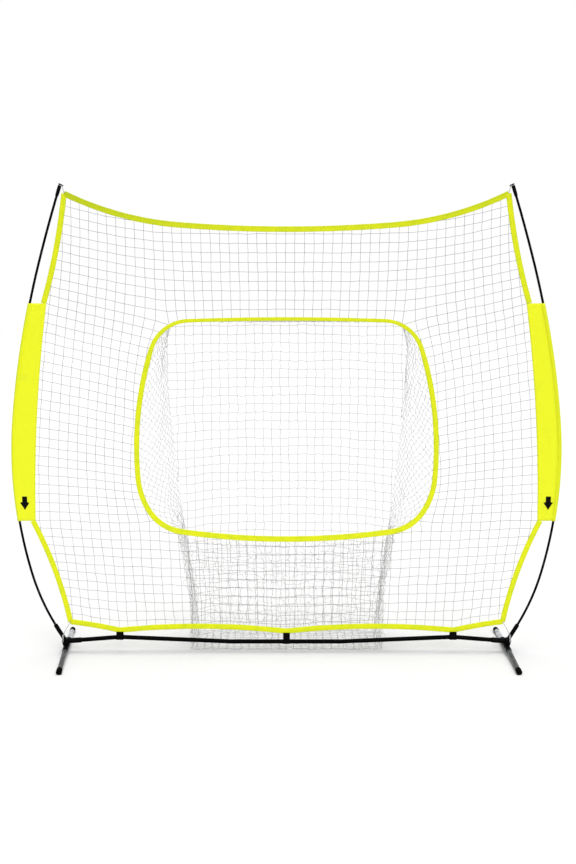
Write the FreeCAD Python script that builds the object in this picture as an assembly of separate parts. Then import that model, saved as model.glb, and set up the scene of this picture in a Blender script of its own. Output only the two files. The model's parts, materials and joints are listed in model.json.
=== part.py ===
import FreeCAD, Part

import math
import os

V = FreeCAD.Vector

# Driving dimensions, in millimetres and degrees.
# X runs along the base bar, Y runs back through the net, Z is up. The net hangs at Y = 0.

# Base bar, from one hub to the other
HUB_X = 1031.0
HUB_Z = 54.0
ELBOW_X = 778.0
ELBOW_Z = 74.0
JOINT_X = 259.0
BAR_MIDDLE_Z = 52.0
BAR_RADIUS = 10.0
BAR_WALL = 1.5
CONNECTOR_WALL = 1.6
CONNECTOR_REACH = 62.0
SLIDE_FIT = 0.2
BAR_CORD_RADIUS = 2.0
BAR_CORD_REACH = 640.0
CORD_STOP_LENGTH = 8.0

# Snap buttons and rivets beside each elbow
BUTTON_OFFSET = 28.0
BUTTON_RADIUS = 3.0
BUTTON_PROUD = 2.6
BUTTON_DOME = 1.8
BUTTON_FLANGE_RADIUS = 4.2
BUTTON_FLANGE_THICKNESS = 0.9
RIVET_RADIUS = 2.0
RIVET_HEAD_RADIUS = 3.4
RIVET_HEAD_HEIGHT = 1.3
RIVET_HEAD_DOME = 0.9
LEAF_THICKNESS = 0.5
LEAF_WIDTH = 6.0
LEAF_LENGTH = 30.0
LEAF_FOLD = 1.5

# Hubs
HUB_BLOCK_RADIUS = 17.0
HUB_UNDERSIDE_Z = 42.0
HUB_TOP_Z = 68.0
HUB_TOP_ROUND = 5.0
BAR_SOCKET_RADIUS = 12.2
BAR_SOCKET_LENGTH = 72.0
BAR_SOCKET_START = 20.0
POLE_SOCKET_RADIUS = 9.6
POLE_SOCKET_LENGTH = 92.0
POLE_SOCKET_START = 24.0
EYE_OFFSET = 8.0
EYE_Z = 60.0
EYE_ROOT = 12.0
EYE_REACH = 10.0
EYE_HALF_WIDTH = 6.0
EYE_WIRE_RADIUS = 1.5

# Bow poles: a straight root in the hub, then tangent arcs, two to each section
POLE_RADIUS = 5.5
POLE_BORE_RADIUS = 3.5
POLE_ROOT_LENGTH = 75.0
POLE_ARC_LENGTH = 358.0
POLE_LEANS = (30.5, 14.9, 4.9, -5.6, -10.8, -15.5, -18.5)
ARCS_PER_SECTION = 2
FERRULE_WALL = 1.2
FERRULE_LENGTH = 90.0
POLE_CORD_RADIUS = 1.5
POLE_CORD_INSET = 60.0

# Tip caps, measured along the pole from its tip
CAP_SKIRT = 44.0
CAP_CROWN = 3.0
CAP_RADIUS = 8.2
CAP_NECK_RADIUS = 7.2
CAP_GROOVE_RADIUS = 5.2
CAP_GROOVE_HEIGHT = 4.6
CAP_FLANGE_HEIGHT = 4.5
CAP_HOOK_REACH = 15.0
CAP_HOOK_WIDTH = 8.0
CAP_RIM_DROP = 1.5
CAP_RIM_INSET = 2.5
CAP_HOOK_ROUND = 1.2

# Pivot studs, which stand down out of the hubs
STUD_RADIUS = 4.0
STUD_TOP_Z = 63.0
STUD_CHAMFER = 0.7
STUD_PAST_NUT = 1.2
PIVOT_FIT = 0.1
WASHER_RADIUS = 9.0
WASHER_THICKNESS = 1.2
NUT_FLATS = 13.0
NUT_HEIGHT = 5.5

# Feet
FOOT_APEX_Z = 27.0
FOOT_TIP_AXIS_Z = 11.8
FOOT_HALF_LENGTH = 300.0
FOOT_BEND_RADIUS = 600.0
FOOT_RADIUS = 11.0
FOOT_WALL = 1.5
LEFT_FOOT_YAW = 5.3
RIGHT_FOOT_YAW = -0.8
SADDLE_FRONT = 58.0
SADDLE_REAR = 112.0
SADDLE_WALL = 2.0
COLLAR_LENGTH = 9.0
COLLAR_STEP = 2.2
SPACER_RADIUS = 15.0
SPACER_DEPTH = 7.0
FOOT_CAP_WALL = 2.0
FOOT_CAP_GRIP = 24.0
FOOT_CAP_END = 8.0
FOOT_CAP_ROUND = 3.0

# Edges of the net
TOP_CORNER_IN = 19.0
TOP_CORNER_DOWN = 31.0
TOP_HEM_Z = 1948.0
TOP_HEM_FLAT_X = 480.0
TOP_HEM_FLAT_RISE = 19.0
BOTTOM_CORNER_X = 1007.0
BOTTOM_CORNER_Z = 148.0
BOTTOM_HEM_Z = 102.0
BOTTOM_CREST_RISE = 21.0
STRAP_HEM_RISE = 5.0
CORNER_HEM_BOW = 3.0
TOP_HEM_WIDTH = 25.0
BOTTOM_HEM_WIDTH = 26.0
SIDE_HEM_WIDTH = 25.0
UPPER_HEM_BOW = 11.0
LOWER_HEM_BOW = 17.0
HEM_THICKNESS = 5.0

# Pole sleeves
SLEEVE_BOTTOM_Z = 628.0
SLEEVE_TOP_Z = 1622.0
SLEEVE_END_WIDTH = 74.0
SLEEVE_MIDDLE_WIDTH = 102.0
SLEEVE_CLOTH = 1.5
SLEEVE_CHANNEL_WALL = 1.4

# Mouth of the net: tangent arcs through these points of one half, from the top round to the bottom
MOUTH_TOP_Z = 1552.0
MOUTH_BOTTOM_Z = 542.0
MOUTH_POINTS = ((442.0, 1544.0), (608.5, 1418.0), (678.5, 821.5), (630.5, 674.0), (481.0, 576.0))
BAND_WIDTH = 22.0
BAND_THICKNESS = 5.0

# Netting
NET_PITCH = 112.0
NET_ROW_Z = 592.0
NET_STRAND = 6.0
NET_THICKNESS = 3.0
NET_ROWS_BESIDE_MOUTH = 8
NET_ROWS_PER_SLAB = 2
NET_COLUMNS_PER_STRIP = 4
SMALLEST_GAP = 500.0
OUTLINE_STEPS = 12

# Pocket behind the mouth: half widths of its front and back edges at each height
POCKET_DEPTH = 298.0
POCKET_CLOTH = 1.0
POCKET_PITCH = 128.0
POCKET_STRAND = 5.0
POCKET_CUT = 9.0
POCKET_FLOOR_Z = 0.5
POCKET_BACK_TOP_Z = 1530.0
POCKET_BACK_ROOF_HALF = 490.0
POCKET_BACK_EAVES_Z = 1503.0
APRON_SETBACK = 34.0
APRON_PROFILE = ((280.0, 455.0, 458.0), (546.0, 497.0, 500.0))
POCKET_FLOOR_HALF = 427.0
POCKET_SIDE_PROFILE = ((592.0, 508.0), (650.0, 512.0), (760.0, 524.0), (960.0, 546.0),
                       (1200.0, 564.0), (1403.0, 573.0), (1500.0, 568.0))

# Straps, corner loops and hooks
STRAP_WIDTH = 32.0
STRAP_THICKNESS = 1.6
LOOP_RADIUS = 1.5
KNOT_RADIUS = 2.8
KNOT_ROUND = 1.2
HOOK_WIRE_RADIUS = 1.2
HOOK_EYE_RADIUS = 4.4
HOOK_STEM = 13.0

# Clearances
SEAT = 0.3
NEAR = 0.15

FAR = 4000.0
SIDES = {"left": -1.0, "right": 1.0}


def add(name, solids):
    """Write one named piece, or a group of like pieces, to its own file."""
    shape = solids[0] if len(solids) == 1 else Part.makeCompound(solids)
    for solid in shape.Solids:
        if not solid.isValid():
            print("invalid solid in", name)
    shape.exportStep("parts/" + name + ".step")


def mirrored(shape):
    """The same shape on the other side of the middle plane."""
    return shape.mirror(V(0, 0, 0), V(1, 0, 0))


def on_side(shape, sign):
    """A shape made on the right, moved to the side that sign names."""
    return shape if sign > 0 else mirrored(shape)


def front(x, z, y=0.0):
    """A point of the net's upright plane."""
    return V(x, y, z)


def rod(start, end, radius):
    """A round bar from start to end."""
    run = end - start
    return Part.makeCylinder(radius, run.Length, start, run)


def tube(start, end, radius, wall):
    """A round tube from start to end."""
    return rod(start, end, radius).cut(rod(start, end, radius - wall))


def slab(low, high):
    """A box between two opposite corners."""
    size = high - low
    return Part.makeBox(size.x, size.y, size.z, low)


class Run:
    """A flat path of straight stretches and tangent arcs, told by lengths and headings."""

    def __init__(self, start, plane, stretches):
        self.start = start
        self.plane = plane
        self.stretches = stretches
        self.length = sum(length for length, _, _ in stretches)

    def at(self, distance):
        """Place and heading at a distance along the path. Headings lean from straight up."""
        u, v = self.start
        done = 0.0
        for length, lean_from, lean_to in self.stretches:
            part = min(max(distance - done, 0.0), length)
            lean = math.radians(lean_from + (lean_to - lean_from) * part / length)
            first = math.radians(lean_from)
            half_turn = (lean - first) / 2
            chord = part if abs(half_turn) < 1e-9 else part * math.sin(half_turn) / half_turn
            u += chord * math.sin(first + half_turn)
            v += chord * math.cos(first + half_turn)
            done += length
            if distance <= done:
                break
        return self.plane(u, v), self.plane(u + math.sin(lean), v + math.cos(lean)) - self.plane(u, v)

    def edges(self, low, high):
        """The path's edges between two distances along it."""
        found = []
        done = 0.0
        for length, lean_from, lean_to in self.stretches:
            first, last = max(low, done), min(high, done + length)
            done += length
            if last - first < 1e-6:
                continue
            points = [self.at(d)[0] for d in (first, (first + last) / 2, last)]
            if abs(lean_to - lean_from) < 1e-6:
                found.append(Part.LineSegment(points[0], points[2]).toShape())
            else:
                found.append(Part.Arc(*points).toShape())
        return found

    def bar(self, low, high, radius):
        """A round bar that follows the path between two distances."""
        place, heading = self.at(low)
        section = Part.Wire(Part.makeCircle(radius, place, heading))
        return Part.Wire(self.edges(low, high)).makePipeShell([section], True, False)

    def pipe(self, low, high, radius, bore):
        """A round tube that follows the path between two distances."""
        return self.bar(low, high, radius).cut(self.bar(low, high, bore))


def arc(start, middle, end):
    return Part.Arc(start, middle, end).toShape()


def bowed(start, end, bow):
    """An arc from start to end that stands bow to the left of its chord, seen from the front."""
    chord = end - start
    left = V(-chord.z, 0, chord.x).normalize()
    return arc(start, (start + end) * 0.5 + left * bow, end)


def tangent_arcs(points, heading):
    """Arcs through the points, each one tangent to the one before it."""
    edges = []
    for start, end in zip(points[:-1], points[1:]):
        chord = end - start
        toward = math.atan2(chord.z, chord.x)
        half_turn = math.remainder(toward - heading, 2 * math.pi)
        sagitta = chord.Length / 2 * math.tan(half_turn / 2)
        edges.append(bowed(start, end, -sagitta))
        heading += 2 * half_turn
    return edges


def disc(centre, radius):
    """A round face in the net's plane."""
    return Part.Face(Part.Wire(Part.makeCircle(radius, centre, V(0, 1, 0))))


def ribbon(edges, half_width):
    """Flat faces that reach half_width to both sides of a row of arcs, with round corners."""
    faces = []
    for edge in edges:
        centre = edge.Curve.Center
        ends = [edge.valueAt(edge.FirstParameter), edge.valueAt(edge.LastParameter)]
        middle = edge.valueAt((edge.FirstParameter + edge.LastParameter) / 2)
        radius = edge.Curve.Radius
        rims = []
        for shift in (-half_width, half_width):
            rims.append([centre + (p - centre) * ((radius + shift) / radius)
                         for p in (ends[0], middle, ends[1])])
        inner, outer = rims
        faces.append(Part.Face(Part.Wire([
            arc(*inner), Part.makeLine(inner[2], outer[2]),
            arc(outer[2], outer[1], outer[0]), Part.makeLine(outer[0], inner[0])])))
    for edge in edges[1:]:
        faces.append(disc(edge.valueAt(edge.FirstParameter), half_width))
    return faces


def thick(face, thickness):
    """A flat face of the net's plane, given a thickness shared between front and back."""
    return face.translated(V(0, -thickness / 2, 0)).extrude(V(0, thickness, 0))


def strip(edges, width, thickness):
    """A flat strip of webbing along a row of arcs."""
    solids = [thick(face, thickness) for face in ribbon(edges, width / 2)]
    return solids[0].multiFuse(solids[1:]).removeSplitter() if solids[1:] else solids[0]


def rectangle(low_x, low_z, high_x, high_z):
    corners = [front(low_x, low_z), front(high_x, low_z), front(high_x, high_z), front(low_x, high_z)]
    return Part.Face(Part.makePolygon(corners + corners[:1]))


def samples(edges, count):
    """Points spread along a row of edges."""
    points = []
    for edge in edges:
        span = edge.LastParameter - edge.FirstParameter
        points += [edge.valueAt(edge.FirstParameter + span * i / count) for i in range(count)]
    return points


# The base bar's axis on the right, from the middle to the hub
BAR_POINTS = [front(0, BAR_MIDDLE_Z), front(JOINT_X, BAR_MIDDLE_Z), front(ELBOW_X, ELBOW_Z),
              front(HUB_X, HUB_Z)]


def bar_heading(index):
    """Direction of the bar along one of its stretches, away from the middle."""
    return (BAR_POINTS[index + 1] - BAR_POINTS[index]).normalize()


def kink_relief(index):
    """How far the tubes stop short of a bar joint, so that their rims clear each other."""
    turn = bar_heading(index).getAngle(bar_heading(index - 1))
    return BAR_RADIUS * math.tan(turn / 2) + NEAR


CONNECTOR_RADIUS = BAR_RADIUS - BAR_WALL - SLIDE_FIT
CONNECTOR_BORE = CONNECTOR_RADIUS - CONNECTOR_WALL


def along_bar(index, distance):
    """A point on the bar at a distance past one of its joints, or before it if negative."""
    way = bar_heading(index) if distance > 0 else bar_heading(index - 1)
    return BAR_POINTS[index] + way * distance


def drill(point, radius):
    """A hole from front to back through the front wall only."""
    return rod(point, point + V(0, -2 * BAR_RADIUS, 0), radius)


def bar_section():
    """The right-hand middle tube, with the hole of its snap button."""
    start = along_bar(1, kink_relief(1))
    end = along_bar(2, -kink_relief(2))
    made = tube(start, end, BAR_RADIUS, BAR_WALL)
    return made.cut(drill(along_bar(2, -BUTTON_OFFSET), BUTTON_RADIUS + SLIDE_FIT))


def centre_bar_section():
    end = along_bar(1, -kink_relief(1))
    return tube(front(-end.x, end.z), end, BAR_RADIUS, BAR_WALL)


def bar_arm():
    """The right-hand end tube, which runs from the elbow into the hub's socket."""
    start = along_bar(2, kink_relief(2))
    end = BAR_POINTS[3] - bar_heading(2) * (BAR_SOCKET_START + NEAR)
    made = tube(start, end, BAR_RADIUS, BAR_WALL)
    return made.cut(drill(along_bar(2, BUTTON_OFFSET), RIVET_RADIUS + NEAR))


def bent_connector(index):
    """A short tube bent to a joint's angle, which joins the two bar tubes from inside."""
    halves = []
    cores = []
    for way in (-1, 1):
        far_end = along_bar(index, way * CONNECTOR_REACH)
        halves.append(rod(BAR_POINTS[index], far_end, CONNECTOR_RADIUS))
        cores.append(rod(BAR_POINTS[index], far_end, CONNECTOR_BORE))
    halves.append(Part.makeSphere(CONNECTOR_RADIUS, BAR_POINTS[index]))
    cores.append(Part.makeSphere(CONNECTOR_BORE, BAR_POINTS[index]))
    return halves[0].multiFuse(halves[1:]).cut(cores[0].multiFuse(cores[1:]))


def bar_elbow():
    """The bent connector at the elbow, with a hole for the snap button and one for the rivet."""
    made = bent_connector(2)
    made = made.cut(drill(along_bar(2, -BUTTON_OFFSET), BUTTON_RADIUS + SLIDE_FIT))
    return made.cut(drill(along_bar(2, BUTTON_OFFSET), RIVET_RADIUS + NEAR))


def flange_face_y():
    """Where the button's flange bears on the round bore, towards the front."""
    return -math.sqrt(CONNECTOR_BORE ** 2 - BUTTON_FLANGE_RADIUS ** 2) + NEAR


def snap_button():
    """A domed pin with a flange inside the bore, pressed in along Y."""
    seat = along_bar(2, -BUTTON_OFFSET)
    tip = BAR_RADIUS + BUTTON_PROUD
    flange = rod(seat + V(0, flange_face_y(), 0),
                 seat + V(0, flange_face_y() + BUTTON_FLANGE_THICKNESS, 0), BUTTON_FLANGE_RADIUS)
    stem = rod(seat + V(0, flange_face_y(), 0), seat + V(0, -tip, 0), BUTTON_RADIUS)
    rim = [e for e in stem.Edges if abs(e.CenterOfMass.y + tip) < 1e-6]
    return flange.fuse(stem.makeFillet(BUTTON_DOME, rim)).removeSplitter()


def leaf_spring():
    """A folded leaf: one arm under the button's flange, the other on the back of the bore."""
    seat = along_bar(2, -BUTTON_OFFSET)
    way = bar_heading(1)
    half_leaf = LEAF_WIDTH / 2
    back_y = math.sqrt(CONNECTOR_BORE ** 2 - half_leaf ** 2) - NEAR
    free_y = flange_face_y() + BUTTON_FLANGE_THICKNESS + NEAR
    reach = BUTTON_FLANGE_RADIUS

    def point(distance, y):
        return seat + way * distance + V(0, y, 0)

    across = V(-way.z, 0, way.x)
    fold = back_y - LEAF_THICKNESS
    under = free_y + LEAF_THICKNESS
    arms = [[point(reach, free_y), point(0, free_y), point(0, under), point(reach, under)],
            [point(0, free_y), point(-LEAF_LENGTH, fold), point(LEAF_FOLD - LEAF_LENGTH, fold),
             point(0, under)],
            [point(-LEAF_LENGTH, fold), point(reach, fold), point(reach, back_y),
             point(-LEAF_LENGTH, back_y)]]
    sheets = []
    for corners in arms:
        face = Part.Face(Part.makePolygon(corners + corners[:1]))
        sheets.append(face.translated(across * -half_leaf).extrude(across * LEAF_WIDTH))
    return sheets


def elbow_rivet():
    """A dome-headed rivet that fixes the elbow in the arm."""
    seat = along_bar(2, BUTTON_OFFSET)
    shank = rod(seat + V(0, -CONNECTOR_BORE, 0), seat + V(0, -BAR_RADIUS - NEAR, 0), RIVET_RADIUS)
    head = rod(seat + V(0, -BAR_RADIUS - NEAR, 0),
               seat + V(0, -BAR_RADIUS - NEAR - RIVET_HEAD_HEIGHT, 0), RIVET_HEAD_RADIUS)
    rim = [e for e in head.Edges if abs(e.CenterOfMass.y + BAR_RADIUS + NEAR + RIVET_HEAD_HEIGHT) < 1e-6]
    return shank.fuse(head.makeFillet(RIVET_HEAD_DOME, rim))


def bar_shock_cord():
    """The elastic cord inside the middle tubes, with a stop at each end."""
    stop_radius = BAR_RADIUS - BAR_WALL - SLIDE_FIT
    pieces = []
    for sign in (-1, 1):
        joint = front(sign * JOINT_X, BAR_MIDDLE_Z)
        way = V(sign * bar_heading(1).x, 0, bar_heading(1).z)
        end = joint + way * ((BAR_CORD_REACH - JOINT_X) / bar_heading(1).x)
        pieces.append(rod(front(0, BAR_MIDDLE_Z), joint, BAR_CORD_RADIUS))
        pieces.append(rod(joint, end, BAR_CORD_RADIUS))
        pieces.append(rod(end, end + way * CORD_STOP_LENGTH, stop_radius))
        pieces.append(Part.makeSphere(BAR_CORD_RADIUS, joint))
    return pieces[0].multiFuse(pieces[1:]).removeSplitter()


def pole_stretches():
    arcs = [[POLE_ARC_LENGTH, a, b] for a, b in zip(POLE_LEANS[:-1], POLE_LEANS[1:])]
    arcs[0][0] -= POLE_ROOT_LENGTH
    return [[POLE_ROOT_LENGTH, POLE_LEANS[0], POLE_LEANS[0]]] + arcs


POLE = Run((HUB_X, HUB_Z), front, pole_stretches())
SECTION_LENGTH = POLE_ARC_LENGTH * ARCS_PER_SECTION


def pole_at_height(z):
    """How far along the pole it reaches a height."""
    low, high = 0.0, POLE.length
    for _ in range(50):
        middle = (low + high) / 2
        if POLE.at(middle)[0].z < z:
            low = middle
        else:
            high = middle
    return low


def pole_section(number):
    start = POLE_SOCKET_START + NEAR if number == 0 else number * SECTION_LENGTH
    return POLE.pipe(start, (number + 1) * SECTION_LENGTH, POLE_RADIUS, POLE_BORE_RADIUS)


FERRULE_BORE = POLE_RADIUS + NEAR
FERRULE_RADIUS = FERRULE_BORE + FERRULE_WALL


def pole_ferrule(number):
    """The metal sleeve over the joint between two pole sections."""
    joint = number * SECTION_LENGTH
    return POLE.pipe(joint - FERRULE_LENGTH / 2, joint + FERRULE_LENGTH / 2,
                     FERRULE_RADIUS, FERRULE_BORE)


def pole_shock_cord():
    """The elastic cord inside the pole, with a stop at each end."""
    low, high = POLE_SOCKET_START + POLE_CORD_INSET, POLE.length - POLE_CORD_INSET
    stop = POLE_BORE_RADIUS - SLIDE_FIT
    cord = POLE.bar(low, high, POLE_CORD_RADIUS)
    ends = [POLE.bar(low, low + CORD_STOP_LENGTH, stop), POLE.bar(high - CORD_STOP_LENGTH, high, stop)]
    return cord.multiFuse(ends)


def pole_tip_frame():
    """The tip's place, its outward direction and the direction square to it, towards the net."""
    tip, up = POLE.at(POLE.length)
    return tip, up, V(-up.z, 0, up.x)


def tip_cap():
    """A moulded cap over the pole's tip: a skirt, a groove for the net's loop and a hooked rim."""
    tip, up, inward = pole_tip_frame()
    bore = POLE_RADIUS + NEAR
    groove_high = CAP_CROWN + CAP_GROOVE_HEIGHT
    top = groove_high + CAP_FLANGE_HEIGHT
    profile = [(bore, -CAP_SKIRT), (CAP_NECK_RADIUS, -CAP_SKIRT), (CAP_RADIUS, -CAP_SKIRT / 2),
               (CAP_RADIUS, CAP_CROWN), (CAP_GROOVE_RADIUS, CAP_CROWN),
               (CAP_GROOVE_RADIUS, groove_high), (CAP_RADIUS, groove_high),
               (CAP_RADIUS, top - CAP_RIM_DROP), (CAP_RADIUS - CAP_RIM_INSET, top), (0, top),
               (0, NEAR), (bore, NEAR)]
    points = [V(r, 0, h) for r, h in profile]
    body = Part.Face(Part.makePolygon(points + points[:1])).revolve(V(0, 0, 0), V(0, 0, 1), 360)
    hook = slab(V(-CAP_HOOK_REACH, -CAP_HOOK_WIDTH / 2, groove_high),
                V(0, CAP_HOOK_WIDTH / 2, top - CAP_RIM_DROP))
    end = [e for e in hook.Edges if e.BoundBox.XMax < -CAP_HOOK_REACH + 1e-6 and e.BoundBox.YLength > 1e-3]
    hook = hook.makeFillet(CAP_HOOK_ROUND, end)
    cap = body.fuse(hook).removeSplitter()
    turn = FreeCAD.Rotation(-inward, V(0, 1, 0), up, "ZXY")
    cap.Placement = FreeCAD.Placement(tip, turn)
    return cap


def hub():
    """The right-hand hub: an upright block round the pivot stud, with a socket for the bar's arm,
    a socket for the pole and an eye at the front for the net's hook."""
    centre = front(HUB_X, HUB_Z)
    block = rod(front(HUB_X, HUB_UNDERSIDE_Z), front(HUB_X, HUB_TOP_Z), HUB_BLOCK_RADIUS)
    rim = [e for e in block.Edges if abs(e.CenterOfMass.z - HUB_TOP_Z) < 1e-6]
    block = block.makeFillet(HUB_TOP_ROUND, rim)
    bar_way = bar_heading(2) * -1
    bar_end = centre + bar_way * BAR_SOCKET_LENGTH
    pole_way = POLE.at(0)[1]
    pole_end = centre + pole_way * POLE_SOCKET_LENGTH
    body = block.multiFuse([rod(centre, bar_end, BAR_SOCKET_RADIUS),
                            rod(centre, pole_end, POLE_SOCKET_RADIUS), hub_eye()])
    floor_cut = slab(V(HUB_X - FAR, -FAR, -FAR), V(HUB_X + FAR, FAR, HUB_UNDERSIDE_Z))
    body = body.cut(floor_cut)
    bores = [rod(centre + bar_way * BAR_SOCKET_START, bar_end, BAR_RADIUS + SLIDE_FIT),
             rod(centre + pole_way * POLE_SOCKET_START, pole_end, POLE_RADIUS + SLIDE_FIT),
             rod(front(HUB_X, 0), front(HUB_X, STUD_TOP_Z + NEAR), STUD_RADIUS + NEAR)]
    return body.cut(bores[0]).cut(bores[1]).cut(bores[2]).removeSplitter()


def hub_eye():
    """A staple of wire that stands out of the hub's front."""
    x = HUB_X + EYE_OFFSET
    root_y = -EYE_ROOT
    bow_y = -HUB_BLOCK_RADIUS - EYE_REACH + EYE_HALF_WIDTH
    left, right = x - EYE_HALF_WIDTH, x + EYE_HALF_WIDTH
    path = Part.Wire([
        Part.makeLine(V(left, root_y, EYE_Z), V(left, bow_y, EYE_Z)),
        arc(V(left, bow_y, EYE_Z), V(x, bow_y - EYE_HALF_WIDTH, EYE_Z), V(right, bow_y, EYE_Z)),
        Part.makeLine(V(right, bow_y, EYE_Z), V(right, root_y, EYE_Z))])
    section = Part.Wire(Part.makeCircle(EYE_WIRE_RADIUS, V(left, root_y, EYE_Z), V(0, -1, 0)))
    return path.makePipeShell([section], True, False)


def hook_frame():
    """The hook's crook, under the eye's front bar, and the centre of its own eye above."""
    bend = EYE_WIRE_RADIUS + HOOK_WIRE_RADIUS + SEAT
    bar_y = -HUB_BLOCK_RADIUS - EYE_REACH
    stem_y = bar_y + bend
    eye = V(HUB_X + EYE_OFFSET, stem_y, EYE_Z + HOOK_STEM + HOOK_EYE_RADIUS)
    return bend, bar_y, stem_y, eye


def corner_hook():
    """A wire hook: an eye on top, a stem through the hub's eye and a crook under its front bar."""
    bend, bar_y, stem_y, eye = hook_frame()
    x = eye.x
    tip_y = bar_y - bend
    stem_top = V(x, stem_y, EYE_Z + HOOK_STEM)
    path = Part.Wire([
        Part.makeLine(stem_top, V(x, stem_y, EYE_Z)),
        arc(V(x, stem_y, EYE_Z), V(x, bar_y, EYE_Z - bend), V(x, tip_y, EYE_Z)),
        Part.makeLine(V(x, tip_y, EYE_Z), V(x, tip_y, EYE_Z + 2 * bend))])
    section = Part.Wire(Part.makeCircle(HOOK_WIRE_RADIUS, stem_top, V(0, 0, -1)))
    stem = path.makePipeShell([section], True, False)
    ring = Part.makeTorus(HOOK_EYE_RADIUS, HOOK_WIRE_RADIUS, eye, V(1, 0, 0))
    return stem.fuse(ring)


def barrel_knot(centre, way):
    """A knot pulled tight round a cord that runs the given way."""
    half = way.normalize() * KNOT_RADIUS
    knot = rod(centre - half, centre + half, KNOT_RADIUS)
    return knot.makeFillet(KNOT_ROUND, [e for e in knot.Edges if isinstance(e.Curve, Part.Circle)])


def free_strand(start, end, hems):
    """The cord from start to the hems round a corner, which it stops short of."""
    strand = rod(start, end, LOOP_RADIUS).cut(hems)
    return max(strand.Solids, key=lambda s: s.Volume)


def bottom_corner_cord(hems):
    """An elastic cord from the net's lower corner, knotted into a loop through the hook's eye."""
    eye = hook_frame()[3]
    low = eye.z + HOOK_EYE_RADIUS - HOOK_WIRE_RADIUS - LOOP_RADIUS - SEAT
    loop_radius = HOOK_EYE_RADIUS
    loop = Part.makeTorus(loop_radius, LOOP_RADIUS, V(eye.x, eye.y, low + loop_radius), V(0, 1, 0))
    top = V(eye.x, eye.y, low + 2 * loop_radius)
    corner = front(BOTTOM_CORNER_X, BOTTOM_CORNER_Z)
    strand = free_strand(top, corner, hems)
    return loop.fuse(barrel_knot(top, corner - top)).fuse(strand)


def top_corner_loop(hems):
    """An elastic loop in the tip cap's groove, knotted and run to the net's upper corner."""
    tip, up, inward = pole_tip_frame()
    centre = tip + up * (CAP_CROWN + CAP_GROOVE_HEIGHT / 2)
    ring_radius = CAP_GROOVE_RADIUS + LOOP_RADIUS + NEAR
    ring = Part.makeTorus(ring_radius, LOOP_RADIUS, centre, up)
    under_hook = KNOT_RADIUS + SEAT - CAP_GROOVE_HEIGHT / 2
    knot = centre + inward * (CAP_RADIUS + KNOT_RADIUS + SEAT) - up * under_hook
    lead = rod(centre + inward * ring_radius, knot, LOOP_RADIUS)
    strand = free_strand(knot, top_corner(), hems)
    return ring.multiFuse([lead, Part.makeSphere(KNOT_RADIUS, knot), strand])


def top_corner():
    tip = POLE.at(POLE.length)[0]
    return tip + V(-TOP_CORNER_IN, 0, -TOP_CORNER_DOWN)


def sleeve_inner_edge():
    """The arc along the sleeve's inner edge, from its lower corner to its upper one."""
    points = []
    for z, width in ((SLEEVE_BOTTOM_Z, SLEEVE_END_WIDTH),
                     ((SLEEVE_BOTTOM_Z + SLEEVE_TOP_Z) / 2, SLEEVE_MIDDLE_WIDTH),
                     (SLEEVE_TOP_Z, SLEEVE_END_WIDTH)):
        pole = POLE.at(pole_at_height(z))[0]
        points.append(front(pole.x - width, z))
    return points


def side_hem_ends():
    """Where the side hems meet the sleeve's lower and upper ends, flush with its inner edge."""
    return [corner + V(SIDE_HEM_WIDTH / 2, 0, 0) for corner in sleeve_inner_edge()[::2]]


def top_hem_edges():
    flat = front(TOP_HEM_FLAT_X, TOP_HEM_Z + TOP_HEM_FLAT_RISE)
    middle = front(0, TOP_HEM_Z)
    right = tangent_arcs([middle, flat, top_corner()], 0.0)
    left = [mirrored(edge) for edge in right]
    return [straight_out(edge) for edge in left[::-1]] + right


def straight_out(edge):
    """The same arc, run the other way."""
    first, last = edge.FirstParameter, edge.LastParameter
    return arc(edge.valueAt(last), edge.valueAt((first + last) / 2), edge.valueAt(first))


def bottom_hem_edges():
    """Arcs from corner to corner, pulled down at the three straps."""
    corner = front(BOTTOM_CORNER_X, BOTTOM_CORNER_Z)
    strap = front(ELBOW_X, BOTTOM_HEM_Z + STRAP_HEM_RISE)
    middle = front(0, BOTTOM_HEM_Z)
    right = [bowed(middle, strap, BOTTOM_CREST_RISE), bowed(strap, corner, CORNER_HEM_BOW)]
    left = [straight_out(mirrored(edge)) for edge in right[::-1]]
    return left + right


def upper_hem_edges():
    return [bowed(side_hem_ends()[1], top_corner(), UPPER_HEM_BOW)]


def lower_hem_edges():
    corner = front(BOTTOM_CORNER_X, BOTTOM_CORNER_Z)
    return [bowed(corner, side_hem_ends()[0], LOWER_HEM_BOW)]


def top_hem():
    return strip(top_hem_edges(), TOP_HEM_WIDTH, HEM_THICKNESS)


def bottom_hem():
    return strip(bottom_hem_edges(), BOTTOM_HEM_WIDTH, HEM_THICKNESS)


def room_for_hem(edges, width):
    """The space that a hem takes, with its clearance."""
    return strip(edges, width + 2 * SEAT, 2 * HEM_THICKNESS)


def room_at_corner(edges, width, side_edges):
    """The space that a hem and the side hem beside it take."""
    return [room_for_hem(edges, width), room_for_hem(side_edges, SIDE_HEM_WIDTH)]


def side_hems():
    """The right-hand strips above and below the sleeve, cut to meet the hems and the sleeve."""
    upper = strip(upper_hem_edges(), SIDE_HEM_WIDTH, HEM_THICKNESS)
    upper = upper.cut(room_for_hem(top_hem_edges(), TOP_HEM_WIDTH))
    upper = upper.cut(slab(V(0, -FAR, 0), V(FAR, FAR, SLEEVE_TOP_Z + SEAT)))
    lower = strip(lower_hem_edges(), SIDE_HEM_WIDTH, HEM_THICKNESS)
    lower = lower.cut(room_for_hem(bottom_hem_edges(), BOTTOM_HEM_WIDTH))
    lower = lower.cut(slab(V(0, -FAR, SLEEVE_BOTTOM_Z - SEAT), V(FAR, FAR, FAR)))
    return [max(piece.Solids, key=lambda s: s.Volume) for piece in (upper, lower)]


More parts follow.
